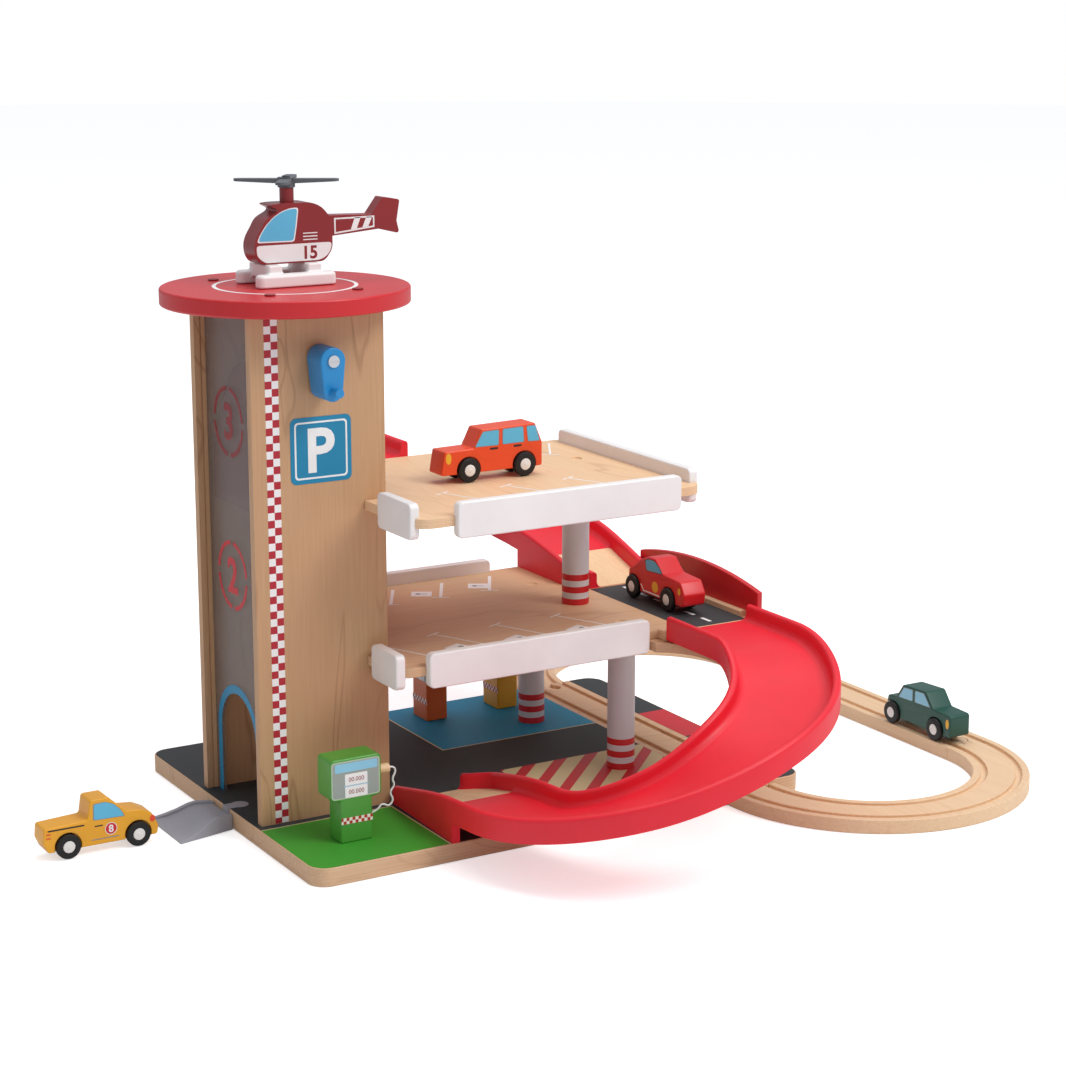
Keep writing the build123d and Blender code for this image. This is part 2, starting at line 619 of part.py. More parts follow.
def landing_guard():
    """Red board along the road's outer edge, its top bowed upwards."""
    foot = DECK2_TOP - DECK_THICKNESS
    end = DECK2_TOP + GUARD_END_HEIGHT
    middle = (GUARD_FRONT + GUARD_BACK) / 2
    edge = Polyline((GUARD_FRONT, end), (GUARD_FRONT, foot), (GUARD_BACK, foot), (GUARD_BACK, end))
    edge += ThreePointArc((GUARD_BACK, end), (middle, end + GUARD_CROWN), (GUARD_FRONT, end))
    return along_x(make_face(edge), (GUARD_IN, DECK2_RIGHT))


def landing_curb():
    curb = block((GUARD_IN - CURB_WIDTH, GUARD_IN), (CURB_FRONT, UPPER_RAMP_EXIT - FIT_GAP),
                 (DECK2_TOP, DECK2_TOP + CURB_HEIGHT))
    return fillet(curb.edges().filter_by(Axis.Y).group_by(Axis.Z)[-1], CURB_EDGE_RADIUS)


# ---------------------------------------------------------------- looping ramps
def profile_share(travel):
    """Height left, as a share of the storey, by a smooth curve through the profile's points."""
    slopes = []
    for i in range(len(RAMP_PROFILE)):
        low = RAMP_PROFILE[max(i - 1, 0)]
        high = RAMP_PROFILE[min(i + 1, len(RAMP_PROFILE) - 1)]
        slopes.append((high[1] - low[1]) / (high[0] - low[0]))
    slopes[0] = slopes[1] = 0.0
    for (t0, h0), (t1, h1), m0, m1 in zip(RAMP_PROFILE, RAMP_PROFILE[1:], slopes, slopes[1:]):
        if travel <= t1:
            break
    span = t1 - t0
    x = min((travel - t0) / span, 1.0)
    rise = (1 + 2 * x) * (1 - x) ** 2 * h0 + x * x * (3 - 2 * x) * h1
    return rise + span * (x * (1 - x) ** 2 * m0 - x * x * (1 - x) * m1)


class LoopRamp:
    """A half-turn ramp round its own centre: it starts on +X heading -Y and leaves on -X heading +Y.

    Heights are above the surface that its exit stands on.
    """

    def __init__(self, start_length, exit_length, skirt_length, exit_taper):
        self.start_length = start_length
        self.exit_length = exit_length
        self.skirt_length = skirt_length
        self.exit_taper = exit_taper
        self.mid_radius = (RAMP_INNER_RADIUS + RAMP_OUTER_RADIUS) / 2
        self.half_width = (RAMP_OUTER_RADIUS - RAMP_INNER_RADIUS) / 2
        self.turn_length = math.pi * self.mid_radius
        self.length = start_length + self.turn_length + exit_length

    def station(self, travel):
        """The centre point and the outward direction after this length of way."""
        if travel <= self.start_length:
            return (self.mid_radius, self.start_length - travel), (1.0, 0.0)
        travel -= self.start_length
        if travel <= self.turn_length:
            angle = travel / self.mid_radius
            outward = (math.cos(angle), -math.sin(angle))
            return (self.mid_radius * outward[0], self.mid_radius * outward[1]), outward
        return (-self.mid_radius, travel - self.turn_length), (-1.0, 0.0)

    def floor(self, travel):
        return STOREY * profile_share(travel / self.length)

    def walls(self, travel):
        """Offsets from the centre line of the two walls' outer and inner faces."""
        to_exit = self.length - travel
        taper = self.exit_taper * max(0.0, 1 - to_exit / self.skirt_length)
        flare = RAMP_EXIT_FLARE * max(0.0, 1 - to_exit / RAMP_FLARE_LENGTH)
        outer = self.half_width - taper
        inner = -self.half_width + flare
        return outer, outer - RAMP_WALL, inner + RAMP_WALL, inner

    def section(self, travel, corners):
        """A closed wire across the ramp from (offset, height) corners."""
        (x, y), (ox, oy) = self.station(travel)
        return Wire.make_polygon([Vector(x + a * ox, y + a * oy, h) for a, h in corners], close=True)

    def rim_corners(self, outer, inner, rim):
        """Four corners that round the top of a wall, from its first face to its second."""
        inward = RAMP_RIM_CHAMFER if outer > inner else -RAMP_RIM_CHAMFER
        return [(outer, rim - RAMP_RIM_CHAMFER), (outer - inward, rim),
                (inner + inward, rim), (inner, rim - RAMP_RIM_CHAMFER)]

    def channel(self, travel, foot=None):
        """The trough's section; its walls hang below the road, or stand on a given foot height."""
        o_out, o_in, i_in, i_out = self.walls(travel)
        floor = self.floor(travel)
        rim = floor + RAMP_RIM
        under = floor - RAMP_FLOOR
        corners = self.rim_corners(o_out, o_in, rim) + [(o_in, floor), (i_in, floor)]
        corners += self.rim_corners(i_in, i_out, rim)
        if foot is None:
            foot = floor - RAMP_WALL_DROP
        corners += [(i_out, foot), (i_in, foot), (i_in, under), (o_in, under),
                    (o_in, foot), (o_out, foot)]
        return self.section(travel, corners)

    def loft_between(self, start, end, steps, make_section):
        stations = [start + (end - start) * i / steps for i in range(steps + 1)]
        return Solid.make_loft([make_section(s) for s in stations], ruled=True)

    def trough(self):
        """The whole moulding up to its exit, without what carries its head."""
        turn_start = self.start_length
        turn_end = turn_start + self.turn_length
        skirt_start = self.length - self.skirt_length
        plate_start = self.length - RAMP_PLATE_LENGTH
        flare_start = self.length - RAMP_FLARE_LENGTH
        ramp = self.loft_between(0, turn_start, 3, self.channel)
        ramp += self.loft_between(turn_start, turn_end, 24, self.channel)
        if skirt_start > turn_end:
            ramp += self.loft_between(turn_end, skirt_start, 2, self.channel)
        ramp += self.loft_between(skirt_start, plate_start, 3, lambda s: self.channel(s, 0.0))
        for side in ("outer", "inner"):
            ramp += self.loft_between(plate_start, flare_start, 3, lambda s: self.wall(s, side))
            ramp += self.loft_between(flare_start, self.length, 3, lambda s: self.wall(s, side))
        return ramp

    def wall(self, travel, side):
        o_out, o_in, i_in, i_out = self.walls(travel)
        faces = (o_out, o_in) if side == "outer" else (i_in, i_out)
        rim = self.floor(travel) + RAMP_RIM
        corners = self.rim_corners(*faces, rim) + [(faces[1], 0.0), (faces[0], 0.0)]
        return self.section(travel, corners)

    def plate(self):
        """The wooden wedge between the exit walls."""
        plate_start = self.length - RAMP_PLATE_LENGTH + FIT_GAP
        stops = [plate_start, self.length - RAMP_FLARE_LENGTH, self.length]
        outer_side = []
        inner_side = []
        for travel in stops:
            (x, y), (ox, _) = self.station(travel)
            _, o_in, i_in, _ = self.walls(travel)
            outer_side.append((x + ox * (o_in - FIT_GAP), y))
            inner_side.append((x + ox * (i_in + FIT_GAP), y))
        wedge = slab(outline(outer_side + inner_side[::-1]), (0, self.floor(plate_start) + 1))
        y_start = outer_side[0][1]
        y_end = outer_side[-1][1]
        slope = [(y_start - 1, 0), (y_end + 1, 0), (y_end + 1, self.floor(self.length)),
                 (y_end, self.floor(self.length)), (y_start, self.floor(plate_start)),
                 (y_start - 1, self.floor(plate_start))]
        return wedge & along_x(outline(slope), (-RAMP_OUTER_RADIUS, 0))


LOWER_RAMP = LoopRamp(start_length=ROAD_TAB_FRONT - FIT_GAP - LOWER_RAMP_CENTRE[1],
                      exit_length=LOWER_RAMP_EXIT - LOWER_RAMP_CENTRE[1],
                      skirt_length=LOWER_RAMP_EXIT - BOARD_FRONT - RAMP_SKIRT_SETBACK,
                      exit_taper=LOWER_EXIT_TAPER)
UPPER_RAMP = LoopRamp(start_length=UPPER_RAMP_CENTRE[1] - DECK3_BACK - FIT_GAP,
                      exit_length=UPPER_RAMP_CENTRE[1] - UPPER_RAMP_EXIT,
                      skirt_length=DECK2_BACK - UPPER_RAMP_EXIT,
                      exit_taper=UPPER_EXIT_TAPER)
LOWER_PLACE = Pos(*LOWER_RAMP_CENTRE, BASE_TOP)
UPPER_PLACE = Pos(*UPPER_RAMP_CENTRE, DECK2_TOP) * Rot(0, 0, 180)


def ramp_foot(ramp, z_span):
    """Full-width pad under a ramp's level head."""
    return block((RAMP_INNER_RADIUS + RAMP_WALL + RAMP_FOOT_INSET, RAMP_OUTER_RADIUS - RAMP_WALL),
                 (ramp.start_length - RAMP_FOOT_LENGTH, ramp.start_length), z_span)


def ramp_lower():
    """Its head rests on the landing board's tongue."""
    foot = ramp_foot(LOWER_RAMP, (STOREY - DECK_THICKNESS, STOREY - RAMP_FLOOR / 2))
    return LOWER_PLACE * (LOWER_RAMP.trough() + foot)


def ramp_upper():
    """Its head hooks under the edge of level 3."""
    span = (RAMP_INNER_RADIUS + RAMP_WALL, RAMP_OUTER_RADIUS - RAMP_WALL)
    head = UPPER_RAMP.start_length
    under_deck = STOREY - DECK_THICKNESS
    lip = block(span, (head - RAMP_LIP_REACH, head + RAMP_LIP_REACH),
                (under_deck - RAMP_LIP_THICKNESS, under_deck))
    neck = block(span, (head - RAMP_LIP_REACH, head),
                 (under_deck - RAMP_LIP_THICKNESS, STOREY - RAMP_FLOOR / 2))
    return UPPER_PLACE * (UPPER_RAMP.trough() + lip + neck)


# ---------------------------------------------------------------- train track loop
def track_curve(centre_y, heading):
    """A half-turn piece; heading is +1 for the back loop and -1 for the front loop."""
    ring = Circle(TRACK_LOOP_RADIUS + TRACK_WIDTH / 2) - Circle(TRACK_LOOP_RADIUS - TRACK_WIDTH / 2)
    reach = TRACK_LOOP_RADIUS + TRACK_WIDTH
    half = Pos(0, heading * reach / 2) * Rectangle(2 * reach, reach)
    curve = slab(ring & half, (0, TRACK_THICKNESS))
    for side in (-1, 1):
        radius = TRACK_LOOP_RADIUS + side * TRACK_GAUGE / 2
        groove = Circle(radius + GROOVE_WIDTH / 2) - Circle(radius - GROOVE_WIDTH / 2)
        curve -= slab(groove, (TRACK_THICKNESS - GROOVE_DEPTH, TRACK_THICKNESS + 1))
    toward = -90 * heading
    curve += track_peg((-TRACK_LOOP_RADIUS, 0), toward)
    curve += track_peg((TRACK_LOOP_RADIUS, 0), toward)
    return Pos(LOOP_CENTRE_X, centre_y) * curve


def track_side_straight():
    half = TRACK_WIDTH / 2
    piece = block((SIDE_TRACK_X - half, SIDE_TRACK_X + half), (BOARD_FRONT, BOARD_BACK),
                  (0, TRACK_THICKNESS))
    piece -= straight_grooves(SIDE_TRACK_X, (BOARD_FRONT - 1, BOARD_BACK + 1), TRACK_THICKNESS)
    piece -= track_socket((SIDE_TRACK_X, BOARD_FRONT), 90, TRACK_THICKNESS)
    piece -= track_socket((SIDE_TRACK_X, BOARD_BACK), -90, TRACK_THICKNESS)
    return piece


# ---------------------------------------------------------------- entry ramp
def entry_ramp():
    """Hump from the floor to the board, with side curbs and a key let into the board."""
    foot = BOARD_LEFT - FIT_GAP
    tip = BOARD_LEFT - ENTRY_LENGTH

    def plan(inset, end):
        return [(tip, ENTRY_TIP_Y - ENTRY_TIP_WIDTH / 2 + inset),
                (end, ENTRY_Y - ENTRY_WIDTH / 2 + inset),
                (end, ENTRY_Y + ENTRY_WIDTH / 2 - inset),
                (tip, ENTRY_TIP_Y + ENTRY_TIP_WIDTH / 2 - inset)]

    def under_profile(drop):
        tops = [(tip + min(way, foot - tip), max(height - drop, ENTRY_LEAST_THICKNESS))
                for way, height in ENTRY_PROFILE]
        return along_y(outline([(tip, 0), (foot, 0)] + tops[::-1]), (-ENTRY_TIP_WIDTH, ENTRY_TIP_WIDTH))

    whole = slab(outline(plan(0, foot)), (0, BASE_TOP))
    channel = slab(outline(plan(ENTRY_CURB_WIDTH, foot)), (0, BASE_TOP))
    curbs = (whole & under_profile(0.0)) - channel
    road = whole & under_profile(ENTRY_ROAD_DROP)
    key = key_shape((foot, ENTRY_KEY_Y), 0, ENTRY_KEY_RADIUS, ENTRY_KEY_NECK,
                    ENTRY_KEY_REACH + FIT_GAP, BASE_TOP)
    return curbs + road + key


# ---------------------------------------------------------------- fuel pumps
def pump(spot, heading=0.0):
    """A round-edged block that widens into its display head, which faces the front unturned."""
    neck_half = PUMP_NECK_WIDTH / 2
    head_half = PUMP_HEAD_WIDTH / 2
    shoulder = PUMP_NECK_HEIGHT + PUMP_SHOULDER
    points = [(-neck_half, 0), (neck_half, 0), (neck_half, PUMP_NECK_HEIGHT), (head_half, shoulder),
              (head_half, PUMP_HEIGHT), (-head_half, PUMP_HEIGHT), (-head_half, shoulder),
              (-neck_half, PUMP_NECK_HEIGHT)]
    face = outline(points)
    face = round_corners(face, [(head_half, PUMP_HEIGHT), (-head_half, PUMP_HEIGHT),
                                (head_half, shoulder), (-head_half, shoulder)], PUMP_EDGE_RADIUS)
    shell = along_y(face, (-PUMP_HEAD_DEPTH / 2, PUMP_HEAD_DEPTH / 2))
    neck_back = PUMP_NECK_DEPTH - PUMP_HEAD_DEPTH / 2
    shell -= block((-head_half, head_half), (neck_back, PUMP_HEAD_DEPTH), (-1, PUMP_NECK_HEIGHT))
    return Pos(*spot, BASE_TOP) * Rot(0, 0, heading) * shell


GREEN_PUMP = (BOARD_LEFT + GREEN_PUMP_INSET[0], BOARD_FRONT + GREEN_PUMP_INSET[1])
ORANGE_PUMP = (BOARD_LEFT + ORANGE_PUMP_INSET[0], BOARD_BACK - ORANGE_PUMP_INSET[1])
YELLOW_PUMP = (BOARD_LEFT + YELLOW_PUMP_INSET[0], BOARD_BACK - YELLOW_PUMP_INSET[1])
PUMP_SIDE = GREEN_PUMP[0] + PUMP_HEAD_WIDTH / 2
NOZZLE_TIP = PUMP_SIDE + NOZZLE_LENGTH
NOZZLE_Z = BASE_TOP + NOZZLE_HEIGHT
# The hose hangs from the nozzle's end in waves, (offset from that end, height over the board),
# and comes into the neck's side
HOSE_WAVES = [(0.0, 43.1), (4.0, 43.1), (5.8, 39.4), (2.6, 34.4), (5.0, 30.0), (0.6, 25.6),
              (3.9, 20.2), (0.4, 15.8), (-5.0, 19.2), (-8.6, 14.2)]
HOSE_END = (GREEN_PUMP[0] + PUMP_NECK_WIDTH / 2, BASE_TOP + 13.0)
HOSE_ROUTE = [(NOZZLE_TIP + x, GREEN_PUMP[1], BASE_TOP + z) for x, z in HOSE_WAVES]
HOSE_ROUTE.append((HOSE_END[0], GREEN_PUMP[1], HOSE_END[1]))


def pump_green_nozzle():
    return rod(NOZZLE_RADIUS, (PUMP_SIDE, GREEN_PUMP[1], NOZZLE_Z), (NOZZLE_TIP, GREEN_PUMP[1], NOZZLE_Z))


def pump_green_hose():
    """Limp hose: straight runs joined by arcs as large as the runs allow."""
    points = [Vector(*point) for point in HOSE_ROUTE]
    radii = []
    for before, here, after in zip(points, points[1:], points[2:]):
        turn = math.radians((here - before).get_angle(after - here))
        shorter = min((here - before).length, (after - here).length)
        radii.append(HOSE_BEND_SHARE * shorter / math.tan(turn / 2))
    print("hose radii", [round(radius, 1) for radius in radii])
    path = FilletPolyline(*points, radius=radii)
    start = Plane(origin=path @ 0, z_dir=path % 0)
    tube = sweep(start * Circle(HOSE_DIAMETER / 2), path=path)
    section = math.pi * HOSE_DIAMETER ** 2 / 4
    print("hose length", round(path.length, 1), "volume against section",
          round(tube.volume / (section * path.length), 3))
    return tube


# ---------------------------------------------------------------- helicopter
HELI_Y = DISC_Y + HELI_Y_OFFSET
HELI_ROOF = 53.2
HELI_NOSE = [(-14.0, HELI_BODY_BOTTOM), (-20.4, 17.6), (-22.2, 25.3), (-20.6, 31.8), (-16.9, 38.0),
             (-12.0, 44.2), (-5.9, 49.6), (0.8, HELI_ROOF)]
HELI_BACK = [(15.0, HELI_ROOF), (21.5, 52.0), (26.9, 49.0), (31.3, 44.2), (33.8, 36.5)]
HELI_HEEL = [(33.8, 25.4), (31.0, 18.2), (24.0, HELI_BODY_BOTTOM)]
HELI_TAIL = [(25.0, 43.8), (64.6, 42.7), (73.0, 53.8), (85.6, 51.6), (83.2, 37.7), (85.3, 29.0),
             (69.7, 32.8), (25.0, 29.0)]


def on_disc(shape):
    """Set a piece drawn about the disc's centre and top in its place."""
    return Pos(TOWER_X, HELI_Y, DISC_TOP + STAND_GAP) * shape


def helicopter_body():
    """Round-nosed cabin sawn from a thick board, with the tail let into its back."""
    edge = Spline(*HELI_NOSE, tangents=[(-1, 0), (1, 0)]) + Line(HELI_NOSE[-1], HELI_BACK[0])
    edge += Spline(*HELI_BACK, tangents=[(1, 0), (0, -1)]) + Line(HELI_BACK[-1], HELI_HEEL[0])
    edge += Spline(*HELI_HEEL, tangents=[(0, -1), (-1, 0)]) + Line(HELI_HEEL[-1], HELI_NOSE[0])
    cabin = along_y(make_face(edge), (-HELI_THICKNESS / 2, HELI_THICKNESS / 2))
    tail = along_y(outline(HELI_TAIL, HELI_TAIL_RADIUS), (-HELI_TAIL_THICKNESS / 2, HELI_TAIL_THICKNESS / 2))
    return on_disc(cabin + tail)


def helicopter_mast():
    """Turned dowel on the roof, with the hole that holds the rotor pin."""
    mast = rod(HELI_MAST_RADIUS, (HELI_MAST_X, 0, HELI_ROOF), (HELI_MAST_X, 0, HELI_ROOF + HELI_MAST_HEIGHT))
    bore = rod(HELI_ROTOR_PIN_RADIUS + AXLE_CLEARANCE, (HELI_MAST_X, 0, HELI_ROOF + 1),
               (HELI_MAST_X, 0, HELI_ROOF + HELI_MAST_HEIGHT + 1))
    return on_disc(mast - bore)


ROTOR_FOOT = HELI_ROOF + HELI_MAST_HEIGHT + FIT_GAP


def helicopter_rotor():
    """Four blades that thin towards their tips, round a hub that turns on the pin."""
    rotor = rod(HELI_HUB_RADIUS, (0, 0, ROTOR_FOOT), (0, 0, ROTOR_FOOT + HELI_HUB_HEIGHT))
    top = ROTOR_FOOT + HELI_HUB_HEIGHT - HELI_BLADE_SETBACK
    reach = HELI_BLADE_LENGTH
    taper = outline([(-reach, top - HELI_TIP_THICKNESS), (0, top - HELI_ROTOR_THICKNESS),
                     (reach, top - HELI_TIP_THICKNESS), (reach, top), (-reach, top)])
    bar = along_y(taper, (-HELI_BLADE_WIDTH, HELI_BLADE_WIDTH))
    bar &= slab(SlotOverall(2 * reach, HELI_BLADE_WIDTH), (ROTOR_FOOT, top))
    for heading in (HELI_ROTOR_HEADING, HELI_ROTOR_HEADING + 90):
        rotor += Rot(0, 0, heading) * bar
    bore = rod(HELI_ROTOR_PIN_RADIUS + AXLE_CLEARANCE, (0, 0, ROTOR_FOOT - 1),
               (0, 0, ROTOR_FOOT + HELI_HUB_HEIGHT + 1))
    return on_disc(Pos(HELI_MAST_X, 0) * (rotor - bore))


def helicopter_rotor_pin():
    top = ROTOR_FOOT + HELI_HUB_HEIGHT + FIT_GAP
    pin = rod(HELI_ROTOR_PIN_RADIUS, (HELI_MAST_X, 0, HELI_ROOF + 1 + FIT_GAP), (HELI_MAST_X, 0, top))
    head = rod(HELI_PIN_HEAD_RADIUS, (HELI_MAST_X, 0, top), (HELI_MAST_X, 0, top + HELI_PIN_HEAD_HEIGHT))
    return on_disc(pin + head)


def helicopter_skids():
    """Two runners joined under the cabin by a pair of cross blocks."""
    reach = (HELI_SKID_X - HELI_SKID_LENGTH / 2, HELI_SKID_X + HELI_SKID_LENGTH / 2)
    skids = None
    for side in (-1, 1):
        middle = side * HELI_SKID_PITCH / 2
        runner = block(reach, (middle - HELI_SKID_WIDTH / 2, middle + HELI_SKID_WIDTH / 2),
                       (0, HELI_SKID_HEIGHT))
        runner = fillet(runner.edges().filter_by(Axis.Z), HELI_SKID_WIDTH / 2 - HELI_SKID_END_FLAT)
        runner = fillet(runner.edges().group_by(Axis.Z)[-1], HELI_SKID_EDGE_RADIUS)
        skids = runner if skids is None else skids + runner
    for x in (HELI_SKID_X - HELI_STRUT_OFFSET, HELI_SKID_X + HELI_STRUT_OFFSET):
        skids += block((x - HELI_STRUT_LENGTH / 2, x + HELI_STRUT_LENGTH / 2),
                       (-HELI_SKID_PITCH / 2, HELI_SKID_PITCH / 2),
                       (HELI_SKID_HEIGHT - HELI_STRUT_LET_IN, HELI_BODY_BOTTOM))
    return on_disc(skids)


# ---------------------------------------------------------------- play cars
# Side outlines: (distance from the front wheel, height above the wheels' foot)
SUV = dict(
    outline=[(-21.2, 6.0), (-18.4, 22.4), (4.0, 22.8), (10.3, 35.4), (52.2, 36.4), (57.9, 22.6), (57.9, 6.0)],
    corner=1.6, wheelbase=43.6)
PICKUP = dict(
    outline=[(-62.0, 5.6), (-65.2, 13.0), (-64.4, 22.4), (-34.6, 23.8), (-32.5, 36.8), (-20.0, 36.8),
             (-8.4, 25.8), (2.4, 24.6), (10.0, 20.8), (14.4, 12.0), (13.6, 5.6)],
    corner=2.2, wheelbase=-48.4)
RED_CAR = dict(
    outline=[(-19.2, 6.3), (-20.6, 15.3), (-15.0, 24.0), (6.8, 25.2), (17.4, 34.4), (26.6, 34.2), (37.1, 30.2),
             (42.4, 25.6), (51.7, 20.6), (53.2, 6.3)],
    corner=3.0, wheelbase=45.5)
SEDAN = dict(
    outline=[(-17.0, 5.4), (-16.8, 22.2), (3.1, 22.8), (11.8, 33.8), (38.6, 32.6), (46.3, 21.6), (55.8, 20.8),
             (57.8, 5.4)],
    corner=2.4, wheelbase=49.8)


def car_axle_bore(at):
    return rod(CAR_AXLE_RADIUS + AXLE_CLEARANCE, (at, -1, WHEEL_RADIUS), (at, CAR_BODY_WIDTH + 1, WHEEL_RADIUS))


def car_body(spec):
    """A car sawn from a board, its arrises rounded, with half arches and axle holes."""
    body = along_y(outline(spec["outline"], spec["corner"]), (0, CAR_BODY_WIDTH))
    sides = body.faces().filter_by(Axis.Y).edges()
    body = fillet(sides, CAR_ARRIS_RADIUS)
    recess = WHEEL_WIDTH - WHEEL_PROUD + FIT_GAP
    for at in (0.0, spec["wheelbase"]):
        body -= car_axle_bore(at)
        for y_span in ((-1, recess), (CAR_BODY_WIDTH - recess, CAR_BODY_WIDTH + 1)):
            body -= rod(WHEEL_RADIUS + ARCH_CLEARANCE, (at, y_span[0], WHEEL_RADIUS), (at, y_span[1], WHEEL_RADIUS))
    return body


def wheelset(at):
    """Two tyres and the axle between them, its ends headed as the hubs."""
    pieces = []
    faces = (-WHEEL_PROUD, CAR_BODY_WIDTH + WHEEL_PROUD)
    axle = rod(CAR_AXLE_RADIUS, (at, faces[0], WHEEL_RADIUS), (at, faces[1], WHEEL_RADIUS))
    for outer, inward in ((faces[0], 1), (faces[1], -1)):
        tyre = rod(WHEEL_RADIUS, (at, outer, WHEEL_RADIUS), (at, outer + inward * WHEEL_WIDTH, WHEEL_RADIUS))
        tyre = fillet(tyre.edges().filter_by(GeomType.CIRCLE), TYRE_EDGE_RADIUS)
        tyre -= car_axle_bore(at)
        tyre -= rod(CAR_AXLE_RADIUS + AXLE_CLEARANCE, (at, outer - inward, WHEEL_RADIUS),
                    (at, outer + inward * WHEEL_WIDTH, WHEEL_RADIUS))
        tyre -= rod(HUB_RADIUS + AXLE_CLEARANCE, (at, outer - inward, WHEEL_RADIUS),
                    (at, outer + inward * HUB_DEPTH, WHEEL_RADIUS))
        axle += rod(HUB_RADIUS, (at, outer, WHEEL_RADIUS), (at, outer + inward * (HUB_DEPTH - AXLE_CLEARANCE), WHEEL_RADIUS))
        pieces.append(tyre)
    return [axle] + pieces


def save_car(name, spec, place):
    """Write a car's body and its two wheelsets."""
    save(f"{name}_body", place * car_body(spec))
    save(f"{name}_front_wheelset", *[place * piece for piece in wheelset(0.0)])
    save(f"{name}_rear_wheelset", *[place * piece for piece in wheelset(spec["wheelbase"])])


def along_x_axis(front_wheel_x, near_y, surface):
    return Pos(front_wheel_x, near_y, surface + STAND_GAP)


def along_y_axis(front_wheel_y, near_x, surface):
    return Pos(near_x + CAR_BODY_WIDTH, front_wheel_y, surface + STAND_GAP) * Rot(0, 0, 90)


# ---------------------------------------------------------------- write every sub-part
save("base_board", base_board())
save("tower_front_wall", tower_front_wall())
save("tower_back_wall", tower_back_wall())
save("tower_window_panel", tower_window_panel())
save("helipad_disc", helipad_disc())
save("helipad_screws", *helipad_screws())
save("lift_car", lift_car())
save("crank_arm", crank_arm())
save("crank_axle", crank_axle())
save("winding_drum", winding_drum())
save("crank_screw", crank_screw())
save("deck_level_2", deck_level_2())
save("deck_level_3", deck_level_3())
save("landing_board", landing_board())
save("landing_guard", landing_guard())
save("landing_curb", landing_curb())
save("column_front", column(FRONT_COLUMN, (BASE_TOP, DECK2_TOP - DECK_THICKNESS)))
save("column_back", column(BACK_COLUMN, (BASE_TOP, DECK2_TOP - DECK_THICKNESS)))
save("column_upper", column(UPPER_COLUMN, (DECK2_TOP, DECK3_TOP - DECK_THICKNESS)))
for rail_name in RAILS:
    save(rail_name, rail(rail_name))
save("ramp_lower", ramp_lower())
save("ramp_upper", ramp_upper())
save("ramp_lower_plate", LOWER_PLACE * LOWER_RAMP.plate())
save("ramp_upper_plate", UPPER_PLACE * UPPER_RAMP.plate())
save("track_front_curve", track_curve(BOARD_FRONT, -1))
save("track_back_curve", track_curve(BOARD_BACK, 1))
save("track_side_straight", track_side_straight())
save("entry_ramp", entry_ramp())
save("pump_green", pump(GREEN_PUMP))
save("pump_orange", pump(ORANGE_PUMP, -90))
save("pump_yellow", pump(YELLOW_PUMP, -90))
save("pump_green_nozzle", pump_green_nozzle())
save("pump_green_hose", pump_green_hose())
save("helicopter_body", helicopter_body())
save("helicopter_mast", helicopter_mast())
save("helicopter_rotor", helicopter_rotor())
save("helicopter_rotor_pin", helicopter_rotor_pin())
save("helicopter_skids", helicopter_skids())
save_car("suv", SUV, along_x_axis(*SUV_PLACE, DECK3_TOP))
save_car("pickup", PICKUP, along_x_axis(*PICKUP_PLACE, 0.0))
save_car("red_car", RED_CAR, along_y_axis(*RED_CAR_PLACE, DECK2_TOP))
save_car("sedan", SEDAN, along_y_axis(*SEDAN_PLACE, TRACK_THICKNESS))
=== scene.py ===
# %% [markdown]
# # A wooden parking garage with a lift, finished for the camera
# The CAD model gives every board, moulding and wheel its place.  This script dresses it: boards
# get eased edges and wood grain, painted parts get enamel, and the printed signs, bay marks and
# car windows are thin plates of ink that lie on their surface.

# %% Load the CAD frame
import json
import math
import bmesh
import bpy
import numpy as np
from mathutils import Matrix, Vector

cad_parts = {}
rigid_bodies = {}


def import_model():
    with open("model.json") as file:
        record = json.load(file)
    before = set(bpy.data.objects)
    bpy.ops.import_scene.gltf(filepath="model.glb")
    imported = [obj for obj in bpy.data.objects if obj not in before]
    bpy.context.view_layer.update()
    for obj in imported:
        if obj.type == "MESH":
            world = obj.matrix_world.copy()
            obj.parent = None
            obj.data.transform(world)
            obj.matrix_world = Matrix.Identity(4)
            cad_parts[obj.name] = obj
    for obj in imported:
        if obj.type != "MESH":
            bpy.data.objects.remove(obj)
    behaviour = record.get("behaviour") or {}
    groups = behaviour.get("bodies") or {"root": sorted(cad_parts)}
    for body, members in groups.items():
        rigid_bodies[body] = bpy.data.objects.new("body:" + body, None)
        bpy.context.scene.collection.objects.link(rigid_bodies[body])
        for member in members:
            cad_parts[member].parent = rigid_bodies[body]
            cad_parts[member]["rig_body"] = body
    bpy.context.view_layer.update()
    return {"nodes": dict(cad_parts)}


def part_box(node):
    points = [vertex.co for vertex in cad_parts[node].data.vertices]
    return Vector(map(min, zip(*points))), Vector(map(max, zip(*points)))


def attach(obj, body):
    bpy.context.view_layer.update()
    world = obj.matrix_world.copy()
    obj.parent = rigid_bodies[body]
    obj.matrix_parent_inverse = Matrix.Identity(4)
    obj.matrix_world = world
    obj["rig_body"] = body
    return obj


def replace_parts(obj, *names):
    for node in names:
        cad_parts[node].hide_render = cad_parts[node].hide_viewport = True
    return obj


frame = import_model()
NODES = frame["nodes"]
MM = 0.001

# %% [markdown]
# ## Camera
# The photograph was taken from the front left, a little above the top deck.  A long lens keeps the
# uprights nearly parallel.  The camera stands still; only its place, turn and lens are set.

# %% Set the camera at the photograph's view
CAMERA_PLACE = (-0.8034, -1.4547, 0.5670)
CAMERA_TURN = 30.42
CAMERA_TILT = 13.088
FOCAL_PIXELS = 2436.4
PHOTO_SIZE = 1066.0
SENSOR = 36.0

